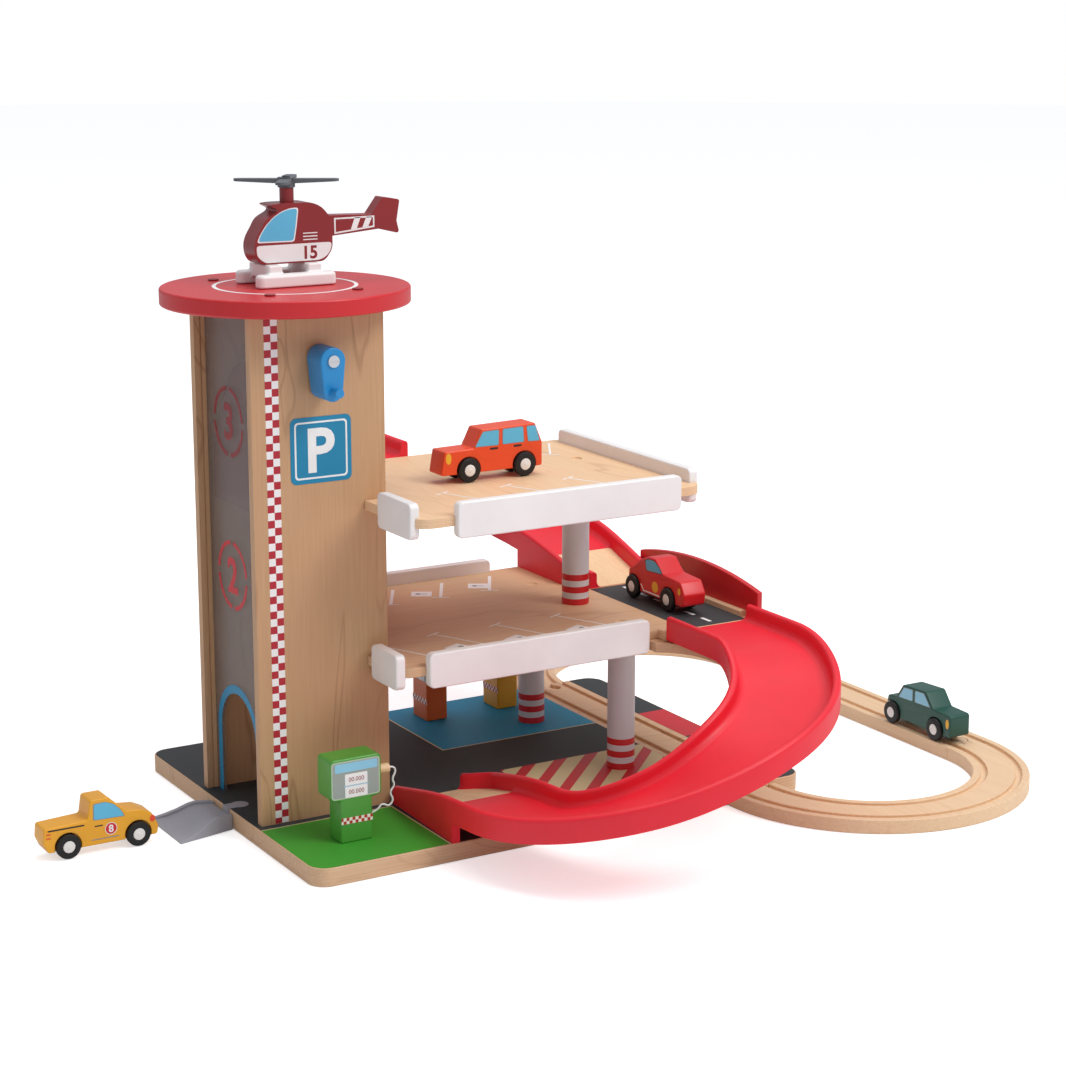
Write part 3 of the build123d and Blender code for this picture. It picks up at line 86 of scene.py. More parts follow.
camera_data = bpy.data.cameras.new("photo_camera")
camera_data.sensor_width = SENSOR
camera_data.lens = FOCAL_PIXELS / PHOTO_SIZE * SENSOR
camera = bpy.data.objects.new("photo_camera", camera_data)
camera.location = CAMERA_PLACE
camera.rotation_euler = (math.radians(90 - CAMERA_TILT), 0, math.radians(-CAMERA_TURN))
bpy.context.scene.collection.objects.link(camera)
bpy.context.scene.camera = camera
print("lens", round(camera_data.lens, 1), "mm")

# %% [markdown]
# ## Colour and nodes
# Colours are written as the sRGB hex values that a paint chart gives.  Blender's shaders work in
# linear light, so one function turns them over.  A second one adds any node to a material or world,
# and short ones on top of it make the nodes that come back most.

# %% Helpers for materials
def linear(code):
    """An sRGB hex colour as linear light, by the standard curve, with full cover."""
    parts = [int(code[i:i + 2], 16) / 255 for i in (1, 3, 5)]
    return [p / 12.92 if p <= 0.04045 else ((p + 0.055) / 1.055) ** 2.4 for p in parts] + [1.0]


def add(material, kind, inputs=None, **settings):
    """Add one node, set its properties, and fill or link its inputs."""
    tree = material.node_tree
    made = tree.nodes.new(kind)
    for key, value in settings.items():
        setattr(made, key, value)
    for key, value in (inputs or {}).items():
        if isinstance(value, bpy.types.NodeSocket):
            tree.links.new(value, made.inputs[key])
        else:
            made.inputs[key].default_value = value
    return made


def blank(name):
    """An empty material and its Principled shader."""
    material = bpy.data.materials.new(name)
    material.use_nodes = True
    material.node_tree.nodes.clear()
    shader = add(material, "ShaderNodeBsdfPrincipled")
    add(material, "ShaderNodeOutputMaterial", {"Surface": shader.outputs["BSDF"]})
    return material, shader


def link(material, source, target):
    material.node_tree.links.new(source, target)


def noise(material, place, scale, detail, **inputs):
    """A cloud of noise over a place, from 0 to 1."""
    made = add(material, "ShaderNodeTexNoise", {"Vector": place, "Scale": scale, "Detail": detail, **inputs})
    return made.outputs["Fac"]


def remap(material, source, low, high, to_low=0.0, to_high=1.0, **settings):
    """Carry the range low..high over to another one, held at its ends."""
    ends = {"From Min": low, "From Max": high, "To Min": to_low, "To Max": to_high}
    return add(material, "ShaderNodeMapRange", {"Value": source, **ends}, **settings).outputs[0]


def maths(material, operation, *values):
    """One sum or function of one or two values."""
    return add(material, "ShaderNodeMath", dict(enumerate(values)), operation=operation).outputs[0]


def blend(material, share, first, second, **settings):
    """Two colours blended by a share."""
    made = add(material, "ShaderNodeMix", {"Factor": share, "A": first, "B": second}, data_type="RGBA",
               **settings)
    return made.outputs["Result"]


# %% [markdown]
# ## Studio
# The object stands on a plain white sweep in soft light: a broad key from the upper front, a wide
# box overhead, and an even white surround.

# %% Floor, world and lamps
FLOOR_RADIUS, FLOOR_DROP, FLOOR_GLOW = 9.0, 0.0002, 0.55
SOFT_LIGHT = 0.5


def from_camera(owner):
    """One where a ray comes from the camera, straight or through clear plastic."""
    rays = add(owner, "ShaderNodeLightPath")
    return maths(owner, "MAXIMUM", rays.outputs["Is Camera Ray"], rays.outputs["Is Transmission Ray"])


def studio_floor():
    """A white disc; what the camera sees of it is lifted a little, its shadow stays."""
    count = 64
    turn = np.linspace(0, 2 * np.pi, count, endpoint=False)
    x, y = FLOOR_RADIUS * np.cos(turn), FLOOR_RADIUS * np.sin(turn)
    edge = np.stack([x, y, np.full(count, -FLOOR_DROP)], -1)
    mesh = bpy.data.meshes.new("studio_floor")
    mesh.from_pydata(edge.tolist(), [], [list(range(count))])
    floor = bpy.data.objects.new("studio_floor", mesh)
    bpy.context.scene.collection.objects.link(floor)
    material = bpy.data.materials.new("white_sweep")
    material.use_nodes = True
    material.node_tree.nodes.clear()
    paper = add(material, "ShaderNodeBsdfDiffuse", {"Color": linear("#F4F4F4")}).outputs[0]
    white = linear("#FFFFFF")
    glow = add(material, "ShaderNodeEmission", {"Color": white, "Strength": FLOOR_GLOW}).outputs[0]
    both = add(material, "ShaderNodeAddShader", {0: paper, 1: glow}).outputs[0]
    surface = add(material, "ShaderNodeMixShader", {0: from_camera(material), 1: paper, 2: both})
    add(material, "ShaderNodeOutputMaterial", {"Surface": surface.outputs[0]})
    mesh.materials.append(material)


def studio_world():
    """White surround: full white where the camera looks, softer as a light."""
    world = bpy.data.worlds.new("white_studio")
    bpy.context.scene.world = world
    world.use_nodes = True
    world.node_tree.nodes.clear()
    soft = add(world, "ShaderNodeBackground", {"Color": linear("#F6F8FF"), "Strength": SOFT_LIGHT}).outputs[0]
    clean = add(world, "ShaderNodeBackground", {"Color": linear("#FFFFFF"), "Strength": 1.0}).outputs[0]
    surround = add(world, "ShaderNodeMixShader", {0: from_camera(world), 1: soft, 2: clean})
    add(world, "ShaderNodeOutputWorld", {"Surface": surround.outputs[0]})


def lamp(name, place, aim, size, power):
    """A square soft box that looks from its place towards its aim."""
    data = bpy.data.lights.new(name, "AREA")
    data.size = size
    data.energy = power
    thing = bpy.data.objects.new(name, data)
    thing.location = place
    thing.rotation_euler = (Vector(aim) - Vector(place)).to_track_quat("-Z", "Y").to_euler()
    bpy.context.scene.collection.objects.link(thing)


studio_floor()
studio_world()
lamp("key_box", (1.1, -1.7, 2.3), (0, 0, 0.15), 1.2, 40)
lamp("top_box", (0.3, 0.2, 2.6), (0, 0, 0.1), 1.8, 26)
bpy.context.scene.view_settings.view_transform = "Standard"

# %% [markdown]
# ## Wood
# Boards of this kind are birch plywood: a rotary cutter peels a thin sheet off the log, so its
# growth rings lie open in long loops.  Contour lines of a slow noise, stretched along the grain,
# make those loops, and a fine noise stretched much further makes the fibres.  The sawn edge shows
# the plies as faint lines.

# %% Birch plywood and beech
AXES = {"X": 0, "Y": 1, "Z": 2}
FIGURE_SPACING, FIGURE_STRETCH = 0.055, 0.2
RING_COUNT = 13.0
FIBRE_WIDTH, FIBRE_STRETCH = 0.0016, 0.03
CLOUD_SCALE = 14.0
PLY, PLY_SHARE = 0.0022, 0.12
WOOD_ROUGHNESS = 0.5


def wood(name, light, mid, dark, grain, thick, figure=0.5, seed=0.0):
    """Lacquered wood; grain names the axis along the fibres, thick the axis through the plies."""
    material, shader = blank(name)
    place = add(material, "ShaderNodeTexCoord").outputs["Object"]
    light, mid, dark = linear(light), linear(mid), linear(dark)
    stretch = [1.0, 1.0, 1.0]
    stretch[AXES[grain]] = FIGURE_STRETCH
    slow = add(material, "ShaderNodeMapping", {"Vector": place, "Scale": stretch,
                                               "Location": (seed, seed * 0.7, seed * 0.3)}).outputs[0]
    rings = noise(material, slow, 1 / FIGURE_SPACING, 3.0, Roughness=0.5, Distortion=0.6)
    contour = maths(material, "PINGPONG", maths(material, "MULTIPLY", rings, RING_COUNT), 1.0)
    line = remap(material, contour, 0.84, 1.0, 0.0, figure, interpolation_type="SMOOTHSTEP")
    stretch[AXES[grain]] = FIBRE_STRETCH
    fast = add(material, "ShaderNodeMapping", {"Vector": place, "Scale": stretch}).outputs[0]
    fibres = noise(material, fast, 1 / FIBRE_WIDTH, 3.0, Roughness=0.6)
    cloud = noise(material, slow, CLOUD_SCALE, 3.0)
    shown = maths(material, "MULTIPLY", line, remap(material, cloud, 0.35, 0.65, 0.25, 1.0))
    body = blend(material, remap(material, fibres, 0.3, 0.75, 0.0, 0.85), light, mid)
    warm = blend(material, remap(material, cloud, 0.4, 0.7, 0.0, 0.4), body, mid)
    colour = blend(material, shown, warm, dark)
    if thick:
        through = add(material, "ShaderNodeSeparateXYZ", {"Vector": place}).outputs[AXES[thick]]
        wave = maths(material, "SINE", maths(material, "MULTIPLY", through, 2 * math.pi / PLY))
        facing = add(material, "ShaderNodeNewGeometry").outputs["Normal"]
        side = add(material, "ShaderNodeSeparateXYZ", {"Vector": facing}).outputs[AXES[thick]]
        edge = remap(material, maths(material, "ABSOLUTE", side), 0.3, 0.1, 0.0, PLY_SHARE)
        share = maths(material, "MULTIPLY", edge, remap(material, wave, 0.2, 0.9))
        colour = blend(material, share, colour, dark)
    link(material, colour, shader.inputs["Base Color"])
    shader.inputs["Roughness"].default_value = WOOD_ROUGHNESS
    bump = add(material, "ShaderNodeBump", {"Height": fibres, "Strength": 0.12, "Distance": 0.0003})
    link(material, bump.outputs[0], shader.inputs["Normal"])
    return material


# The tower walls get a darker copy of the birch: painted shade for upright faces that catch less of the
# overhead light.
birch_upright_shaded = wood("birch_upright_shaded", "#CCA27A", "#BF936B", "#8C5F3E", "Z", "Y")
birch_flat = wood("birch_flat", "#DDB993", "#D0A680", "#A67650", "X", "Z", figure=0.45)
# The top deck gets a lighter copy of the birch: painted light for its open top under the overhead lamps.
birch_deck_lit = wood("birch_deck_lit", "#EFCBA3", "#E3B98E", "#C08E62", "Y", "Z", figure=0.4, seed=0.4)
birch_plate = wood("birch_plate", "#F1D0A6", "#E5BE90", "#C79A6C", "Y", None, figure=0.45, seed=0.8)
beech_track = wood("beech_track", "#EBCBA6", "#DDB68C", "#BE9064", "Y", None, figure=0.15, seed=1.7)
print("wood finishes", len(bpy.data.materials))

# %% [markdown]
# ## Paint, plastic, ink and metal
# Enamel on wood is smooth with a slight orange peel.  The ramps are moulded plastic with a satin
# skin, the lift car and the window are clear plastic, tyres are matt rubber, and printed ink is
# nearly flat.  All share one recipe: a colour with a faint cloud in it, a roughness and a fine bump.

# %% Plain finishes
DRIFT_SCALE, DRIFT_SHARE = 28.0, 0.06
PEEL_SIZE, PEEL_HEIGHT = 0.0018, 0.0002
COAT_ROUGHNESS = 0.12


def coloured(name, colour, rough, lift=0.05, metallic=0.0, alpha=1.0, coat=0.0):
    """A plain finish whose colour drifts by a few percent and whose skin has a fine bump."""
    material, shader = blank(name)
    place = add(material, "ShaderNodeTexCoord").outputs["Object"]
    drift = remap(material, noise(material, place, DRIFT_SCALE, 3.0), 0.35, 0.65, 1 - DRIFT_SHARE, 1.0)
    tone = blend(material, 1.0, linear(colour), drift, blend_type="MULTIPLY")
    link(material, tone, shader.inputs["Base Color"])
    for socket, value in (("Roughness", rough), ("Metallic", metallic), ("Alpha", alpha),
                          ("Coat Weight", coat), ("Coat Roughness", COAT_ROUGHNESS)):
        shader.inputs[socket].default_value = value
    peel = noise(material, place, 1 / PEEL_SIZE, 1.0)
    bump = add(material, "ShaderNodeBump", {"Height": peel, "Strength": lift, "Distance": PEEL_HEIGHT})
    link(material, bump.outputs[0], shader.inputs["Normal"])
    return material


red_enamel = coloured("red_enamel", "#CE1A22", 0.42, coat=0.12)
white_enamel = coloured("white_enamel", "#F5F1EF", 0.42, coat=0.1)
column_enamel = coloured("column_enamel", "#D6D3D5", 0.45, coat=0.1)
red_moulding = coloured("red_moulding", "#EC1B30", 0.45, lift=0.04)
smoked_panel = coloured("smoked_panel", "#8A827C", 0.3, alpha=0.42, lift=0.02)
clear_red = coloured("clear_red", "#B3202B", 0.2, alpha=0.6, lift=0.02)
crank_blue = coloured("crank_blue", "#238CCB", 0.36)
grey_moulding = coloured("grey_moulding", "#A9A9B0", 0.5)
green_lacquer = coloured("green_lacquer", "#4A9C33", 0.38, coat=0.2)
orange_lacquer = coloured("orange_lacquer", "#E0661C", 0.4, coat=0.2)
yellow_lacquer = coloured("yellow_lacquer", "#E3A416", 0.4, coat=0.2)
white_hose = coloured("white_hose", "#F2F0EE", 0.5)
zinc_screw = coloured("zinc_screw", "#D9D9DC", 0.3, metallic=0.9)
maroon_enamel = coloured("maroon_enamel", "#8E1519", 0.36, coat=0.25)
rotor_grey = coloured("rotor_grey", "#5C6065", 0.5)
tyre_rubber = coloured("tyre_rubber", "#0B0B0C", 0.55, lift=0.1)
screw_red = coloured("screw_red", "#8F1219", 0.45)
hub_white = coloured("hub_white", "#EDE9E4", 0.4)
orange_enamel = coloured("orange_enamel", "#EE4A14", 0.4, coat=0.12)
yellow_enamel = coloured("yellow_enamel", "#EFA91C", 0.4, coat=0.12)
fire_enamel = coloured("fire_enamel", "#D8141C", 0.38, coat=0.12)
pine_enamel = coloured("pine_enamel", "#0E4A3D", 0.4, coat=0.1)
charcoal_ink = coloured("charcoal_ink", "#34393B", 0.65)
road_ink = coloured("road_ink", "#34383A", 0.6)
blue_ink = coloured("blue_ink", "#0094C2", 0.55)
green_ink = coloured("green_ink", "#3A9A27", 0.6)
red_ink = coloured("red_ink", "#CE1F2B", 0.5)
cream_ink = coloured("cream_ink", "#DCCB9C", 0.55)
white_ink = coloured("white_ink", "#F4F3F1", 0.5)
dark_ink = coloured("dark_ink", "#2A1F1C", 0.5)
pale_green_ink = coloured("pale_green_ink", "#B9CDB0", 0.5)
ring_crimson = coloured("ring_crimson", "#8E1A20", 0.5)
pane_edge_ink = coloured("pane_edge_ink", "#8A8F93", 0.5)
display_grey = coloured("display_grey", "#9DA6A0", 0.5)
sign_blue = coloured("sign_blue", "#0A84AE", 0.45)
pale_blue_ink = coloured("pale_blue_ink", "#8FCDE6", 0.35)
sky_ink = coloured("sky_ink", "#5FBBE0", 0.35)
lamp_yellow = coloured("lamp_yellow", "#F3B62A", 0.35)
print("plain finishes", len(bpy.data.materials))

# %% [markdown]
# ## Surfaces from formulas
# Every new piece starts as a grid of points.  `skin` turns the grid into faces, closes it where it
# should be closed, and merges the points that meet at seams and poles.

# %% The grid helper
def skin(name, grid, body, finish, around_u=False, caps=True, smooth=True, crease=40.0):
    """Quads between neighbours of a (U, V, 3) grid in metres, closed round V; caps close U's ends."""
    rows, columns = grid.shape[:2]
    index = np.arange(rows * columns).reshape(rows, columns)
    if around_u:
        index = np.vstack([index, index[:1]])
    index = np.hstack([index, index[:, :1]])
    quads = np.stack([index[:-1, :-1], index[1:, :-1], index[1:, 1:], index[:-1, 1:]], -1).reshape(-1, 4)
    faces = quads.tolist()
    if caps and not around_u:
        ends = np.arange(rows * columns).reshape(rows, columns)
        faces.append(ends[0].tolist())
        faces.append(ends[-1][::-1].tolist())
    mesh = bpy.data.meshes.new(name)
    mesh.from_pydata(grid.reshape(-1, 3).tolist(), [], faces)
    return settle(name, mesh, body, finish, smooth, crease)


def settle(name, mesh, body, finish, smooth, crease=40.0):
    """Merge doubles, turn faces outwards, shade, and hang the piece on its body."""
    work = bmesh.new()
    work.from_mesh(mesh)
    bmesh.ops.remove_doubles(work, verts=work.verts, dist=1e-6)
    bmesh.ops.recalc_face_normals(work, faces=work.faces)
    work.to_mesh(mesh)
    work.free()
    if smooth:
        mesh.shade_smooth()
        mesh.set_sharp_from_angle(angle=math.radians(crease))
    mesh.materials.append(finish)
    thing = bpy.data.objects.new(name, mesh)
    bpy.context.scene.collection.objects.link(thing)
    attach(thing, body)
    return thing


def ring(radius, count, centre=(0.0, 0.0), start=0.0, sweep=2 * np.pi, closed=True):
    """Points on a circle or an arc, in millimetres."""
    turn = start + np.linspace(0, sweep, count, endpoint=not closed)
    return np.stack([centre[0] + radius * np.cos(turn), centre[1] + radius * np.sin(turn)], -1)


CORNER_STEPS = 6


def rounded(x_span, y_span, radius):
    """A rectangle with round corners: four quarter circles in turn."""
    (x0, x1), (y0, y1) = x_span, y_span
    corners = [((x1 - radius, y1 - radius), 0.0), ((x0 + radius, y1 - radius), np.pi / 2),
               ((x0 + radius, y0 + radius), np.pi), ((x1 - radius, y0 + radius), 1.5 * np.pi)]
    arcs = [ring(radius, CORNER_STEPS, centre, start, np.pi / 2, closed=False) for centre, start in corners]
    return np.vstack(arcs)


def soft_polygon(points, radius):
    """A polygon whose corners are short curves: quadratic blends between points near each corner."""
    points = np.asarray(points, float)
    before = np.roll(points, 1, 0) - points
    after = np.roll(points, -1, 0) - points
    reach_b = np.minimum(radius / np.linalg.norm(before, axis=1), 0.45)[:, None]
    reach_a = np.minimum(radius / np.linalg.norm(after, axis=1), 0.45)[:, None]
    start, end = points + before * reach_b, points + after * reach_a
    t = np.linspace(0, 1, 4)[None, :, None]
    blend = (1 - t) ** 2 * start[:, None] + 2 * t * (1 - t) * points[:, None] + t ** 2 * end[:, None]
    return blend.reshape(-1, 2)


SINK = 0.15
LETTER_SINK = 0.1
CAPITAL_SHARE = 1.38


class Sheet:
    """A flat place to print on: an origin, two directions in it and the way out of the surface."""

    def __init__(self, body, origin, across, up, out):
        self.body = body
        self.origin = np.array(origin, float)
        self.across = np.array(across, float)
        self.up = np.array(up, float)
        self.out = np.array(out, float)

    def at(self, flat, height):
        """Flat millimetre points, raised off the surface, as metres in the frame."""
        flat = np.asarray(flat, float)
        return MM * (self.origin + flat[:, :1] * self.across + flat[:, 1:2] * self.up + height * self.out)

    def plate(self, name, flat, finish, level=0.12):
        """A thin closed plate of ink over an outline."""
        grid = np.stack([self.at(flat, -SINK), self.at(flat, level)])
        return skin(name, grid, self.body, finish, smooth=False)

    def band(self, name, outer, inner, finish, level=0.12):
        """A closed band between two outlines with the same number of points."""
        grid = np.stack([self.at(outer, -SINK), self.at(outer, level),
                         self.at(inner, level), self.at(inner, -SINK)])
        return skin(name, grid, self.body, finish, around_u=True, caps=False, smooth=False)

    def digits(self, name, text, height, centre, finish, level, weight=0.0):
        """Plain figures, made from Blender's own lettering and turned into a mesh."""
        curve = bpy.data.curves.new(name, "FONT")
        curve.body = text
        curve.size = height * CAPITAL_SHARE
        curve.align_x = "CENTER"
        curve.align_y = "CENTER"
        curve.offset = weight
        curve.extrude = 0.12
        curve.resolution_u = 4
        holder = bpy.data.objects.new(name + "_curve", curve)
        bpy.context.scene.collection.objects.link(holder)
        bpy.context.view_layer.update()
        mesh = bpy.data.meshes.new_from_object(holder)
        bpy.data.objects.remove(holder)
        points = np.zeros(len(mesh.vertices) * 3)
        mesh.vertices.foreach_get("co", points)
        points = points.reshape(-1, 3)
        middle = (points.max(0) + points.min(0)) / 2
        flat = points[:, :2] - middle[:2] + np.array(centre)
        place = self.at(flat, np.where(points[:, 2] > 0, level, -LETTER_SINK)[:, None])
        mesh.vertices.foreach_set("co", place.ravel())
        mesh.materials.clear()
        return settle(name, mesh, self.body, finish, smooth=False)


# %% [markdown]
# ## Boards with eased edges
# Sanded boards have no sharp arris.  A copy of each CAD board is merged, its flat faces are joined,
# and a Bevel modifier rounds every edge by a real half millimetre or more.

# %% Ease the boards and mouldings
FLAT_ANGLE, ARRIS_ANGLE = 1.0, 32.0


def eased(node, finish, width):
    """A copy of a CAD node with rounded arrises stands for it on the same body."""
    source = NODES[node]
    mesh = source.data.copy()
    mesh.name = node + "_eased"
    work = bmesh.new()
    work.from_mesh(mesh)
    bmesh.ops.remove_doubles(work, verts=work.verts, dist=1e-6)
    bmesh.ops.dissolve_limit(work, angle_limit=math.radians(FLAT_ANGLE), verts=work.verts,
                               edges=work.edges)
    work.to_mesh(mesh)
    work.free()
    mesh.materials.clear()
    mesh.materials.append(finish)
    mesh.shade_smooth()
    mesh.set_sharp_from_angle(angle=math.radians(ARRIS_ANGLE))
    thing = bpy.data.objects.new(node + "_eased", mesh)
    bpy.context.scene.collection.objects.link(thing)
    bevel = thing.modifiers.new("arris", "BEVEL")
    bevel.width = width * MM
    bevel.segments = 3
    bevel.limit_method = "ANGLE"
    bevel.angle_limit = math.radians(ARRIS_ANGLE)
    bevel.harden_normals = True
    bevel.use_clamp_overlap = True
    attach(thing, source["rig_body"])
    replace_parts(thing, node)


def painted(node, finish):
    """Give a CAD node its finish and keep its shape."""
    mesh = NODES[node].data
    mesh.materials.clear()
    mesh.materials.append(finish)


EASED = {
    "base_board": (birch_flat, 0.8), "tower_front_wall": (birch_upright_shaded, 0.7),
    "tower_back_wall": (birch_upright_shaded, 0.7), "deck_level_2": (birch_flat, 0.6),
    "deck_level_3": (birch_deck_lit, 0.6), "landing_board": (birch_flat, 0.6),
    "landing_guard": (red_enamel, 0.9), "ramp_lower_plate": (birch_plate, 0.3),
    "ramp_upper_plate": (birch_plate, 0.3), "track_side_straight": (beech_track, 0.8),
    "track_front_curve": (beech_track, 0.8), "track_back_curve": (beech_track, 0.8),
    "entry_ramp": (grey_moulding, 0.5), "pump_green": (green_lacquer, 1.2),
    "pump_orange": (orange_lacquer, 1.2), "pump_yellow": (yellow_lacquer, 1.2),
    "helicopter_body": (maroon_enamel, 1.4), "helicopter_skids": (white_enamel, 1.4),
    "lift_car": (clear_red, 0.4), "crank_arm": (crank_blue, 0.5),
    "rail_level_2_front": (white_enamel, 1.2), "rail_level_2_left": (white_enamel, 1.2),
    "rail_level_2_back": (white_enamel, 1.2), "rail_level_3_front": (white_enamel, 1.2),
    "rail_level_3_left": (white_enamel, 1.2), "rail_level_3_right": (white_enamel, 1.2),
}
for node, (finish, width) in EASED.items():
    eased(node, finish, width)
PAINTED = {
    "tower_window_panel": smoked_panel, "helipad_disc": red_enamel, "helipad_screws": screw_red,
    "crank_axle": zinc_screw, "winding_drum": beech_track, "crank_screw": zinc_screw,
    "landing_curb": birch_plate, "column_front": column_enamel, "column_back": column_enamel,
    "column_upper": column_enamel, "pump_green_nozzle": birch_plate, "helicopter_mast": maroon_enamel,
    "helicopter_rotor": rotor_grey, "helicopter_rotor_pin": rotor_grey,
}
for node, finish in PAINTED.items():
    painted(node, finish)
print("eased", len(EASED), "painted", len(PAINTED))

# %% [markdown]
# ## Column bands
# Each column carries three red rings at its foot, like a bollard.  A ring is a short tube: a small
# rectangle of radius and height carried round the column.

# %% Wrap the bands
BAND_HEIGHT, BAND_LIFT = 4.5, 0.05
COLUMN_SKIN, COLUMN_SINK = 0.12, 0.3


def column_bands(node):
    """Radius and height run round a rectangle, angle runs round the column."""
    low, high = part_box(node)
    centre = np.array([(low.x + high.x) / 2, (low.y + high.y) / 2]) / MM
    radius = (high.x - low.x) / 2 / MM
    turn = np.linspace(0, 2 * np.pi, 64, endpoint=False)
    for number in (0, 2, 4):
        foot = low.z / MM + number * BAND_HEIGHT + BAND_LIFT
        head = foot + BAND_HEIGHT
        near, far = radius - COLUMN_SINK, radius + COLUMN_SKIN
        section = np.array([(near, foot), (far, foot), (far, head), (near, head)])
        x = centre[0] + section[:, None, 0] * np.cos(turn)
        y = centre[1] + section[:, None, 0] * np.sin(turn)
        z = np.repeat(section[:, 1:2], len(turn), 1)
        skin(f"{node}_band_{number}", MM * np.stack([x, y, z], -1), "garage", red_enamel,
             around_u=True, caps=False, crease=60)


for column in ("column_front", "column_back", "column_upper"):
    column_bands(column)

# %% [markdown]
# ## Prints on the base board
# The board's top is printed: charcoal ground, a green lawn with the pump, a blue service bay, a
# striped keep-clear field and a red patch, with a thin bare line between the colours.  Each colour
# is one plate of ink; those printed over others lie a hair higher.

# %% Print the base board
BASE_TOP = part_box("base_board")[1].z / MM
base = Sheet("garage", (0, 0, BASE_TOP), (1, 0, 0), (0, 1, 0), (0, 0, 1))
STRIP_LEFT, STRIP_RIGHT = 125.3, 165.3
KEY_CENTRE, KEY_RADIUS, KEY_NECK = (-180.0, 1.0), 6.2, 10.0
BOARD_HALF_LENGTH, BOARD_HALF_WIDTH, INSET = 190.0, 140.0, 1.0
BOARD_X = (-BOARD_HALF_LENGTH + INSET, BOARD_HALF_LENGTH - INSET)
BOARD_Y = (-BOARD_HALF_WIDTH + INSET, BOARD_HALF_WIDTH - INSET)
CORNER, SHARP_CORNER = 12.0, 0.4


def clip_corner(x_span, y_span, corners):
    """A rectangle with some corners rounded; corners is a string of quadrant numbers."""
    (x0, x1), (y0, y1) = x_span, y_span
    quadrants = {"1": (x1, y1), "2": (x0, y1), "3": (x0, y0), "4": (x1, y0)}
    parts = []
    for turn, (key, (x, y)) in enumerate(quadrants.items()):
        radius = CORNER if key in corners else SHARP_CORNER
        centre = (x - math.copysign(radius, x - (x0 + x1) / 2), y - math.copysign(radius, y - (y0 + y1) / 2))
        parts.append(ring(radius, 8, centre, turn * np.pi / 2, np.pi / 2, closed=False))
    return np.vstack(parts)


base.plate("print_charcoal_left", clip_corner((BOARD_X[0], STRIP_LEFT), BOARD_Y, "23"), charcoal_ink, 0.06)
base.plate("print_charcoal_right", clip_corner((STRIP_RIGHT, BOARD_X[1]), BOARD_Y, "14"), charcoal_ink, 0.06)
base.plate("print_lawn_edge", clip_corner((BOARD_X[0], -92.2), (BOARD_Y[0], -54.2), "3"), cream_ink, 0.09)
base.plate("print_lawn", clip_corner((BOARD_X[0], -93.4), (BOARD_Y[0], -55.4), "3"), green_ink, 0.12)
base.plate("print_bay_edge", rounded((-5.6, STRIP_LEFT), (33.6, BOARD_Y[1]), 0.5), cream_ink, 0.09)
base.plate("print_bay", rounded((-4.4, STRIP_LEFT), (34.8, BOARD_Y[1]), 0.4), blue_ink, 0.12)
base.plate("print_red_patch", rounded((STRIP_RIGHT, 188.5), (-27.0, 37.0), 0.4), red_ink, 0.12)
KEEP_CLEAR_X = (8.0, STRIP_LEFT)
KEEP_CLEAR_Y = (-112.0, -26.5)
base.plate("print_keep_clear", rounded(KEEP_CLEAR_X, KEEP_CLEAR_Y, 0.4), cream_ink, 0.09)


STRIPE_FIRST, STRIPE_PITCH, STRIPE_WIDTH = -85.3, 26.2, 11.2


def keep_clear_stripes():
    """Bars at 45 degrees cut to the field: a half-plane clip of each parallelogram's corners."""
    (x0, x1), (y0, y1) = KEEP_CLEAR_X, KEEP_CLEAR_Y
    reach = y1 - y0
    for number in range(9):
        left = STRIPE_FIRST + number * STRIPE_PITCH
        right = left + STRIPE_WIDTH
        bar = [(left, y0), (right, y0), (right + reach, y1), (left + reach, y1)]
        shape = clip_polygon(clip_polygon(bar, 0, x0, 1), 0, x1, -1)
        if len(shape) > 2:
            base.plate(f"print_stripe_{number}", shape, red_ink, 0.12)


def clip_polygon(points, axis, limit, keep):
    """Keep the part of a convex polygon on one side of a line, by walking its edges."""
    result = []
    for here, after in zip(points, points[1:] + points[:1]):
        inside = keep * (here[axis] - limit) >= 0
        if inside:
            result.append(here)
        if inside != (keep * (after[axis] - limit) >= 0):
            share = (limit - here[axis]) / (after[axis] - here[axis])
            result.append((here[0] + share * (after[0] - here[0]), here[1] + share * (after[1] - here[1])))
    return result


keep_clear_stripes()
neck_turn = math.asin(KEY_NECK / 2 / KEY_RADIUS)
key_head = ring(KEY_RADIUS, 28, KEY_CENTRE, -math.pi + neck_turn, 2 * (math.pi - neck_turn), closed=False)
key_foot = [(-BOARD_HALF_LENGTH, KEY_CENTRE[1] + way * KEY_NECK / 2) for way in (1, -1)]
base.plate("entry_key_face", np.vstack([key_head, key_foot]), grey_moulding, 0.12)

# %% [markdown]
# ## Prints on the decks
# Both decks have slanted parking bays: a line with a bar across its end, and a small panel on the
# ground of each bay.  The road on level 2 is charcoal with white dashes.

# %% Print the decks
DECK2_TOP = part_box("deck_level_2")[1].z / MM
DECK3_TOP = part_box("deck_level_3")[1].z / MM
deck2 = Sheet("garage", (0, 0, DECK2_TOP), (1, 0, 0), (0, 1, 0), (0, 0, 1))
deck3 = Sheet("garage", (0, 0, DECK3_TOP), (1, 0, 0), (0, 1, 0), (0, 0, 1))


def stroke(sheet, name, start, end, width, finish=None, level=0.12):
    """A straight line of ink with square ends."""
    start, end = np.array(start, float), np.array(end, float)
    along = (end - start) / np.linalg.norm(end - start)
    side = np.array([-along[1], along[0]]) * width / 2
    corners = np.array([start - side, end - side, end + side, start + side])
    sheet.plate(name, corners, finish or white_ink, level)


BAR_LENGTH, BAR_WIDTH = 13.0, 1.2


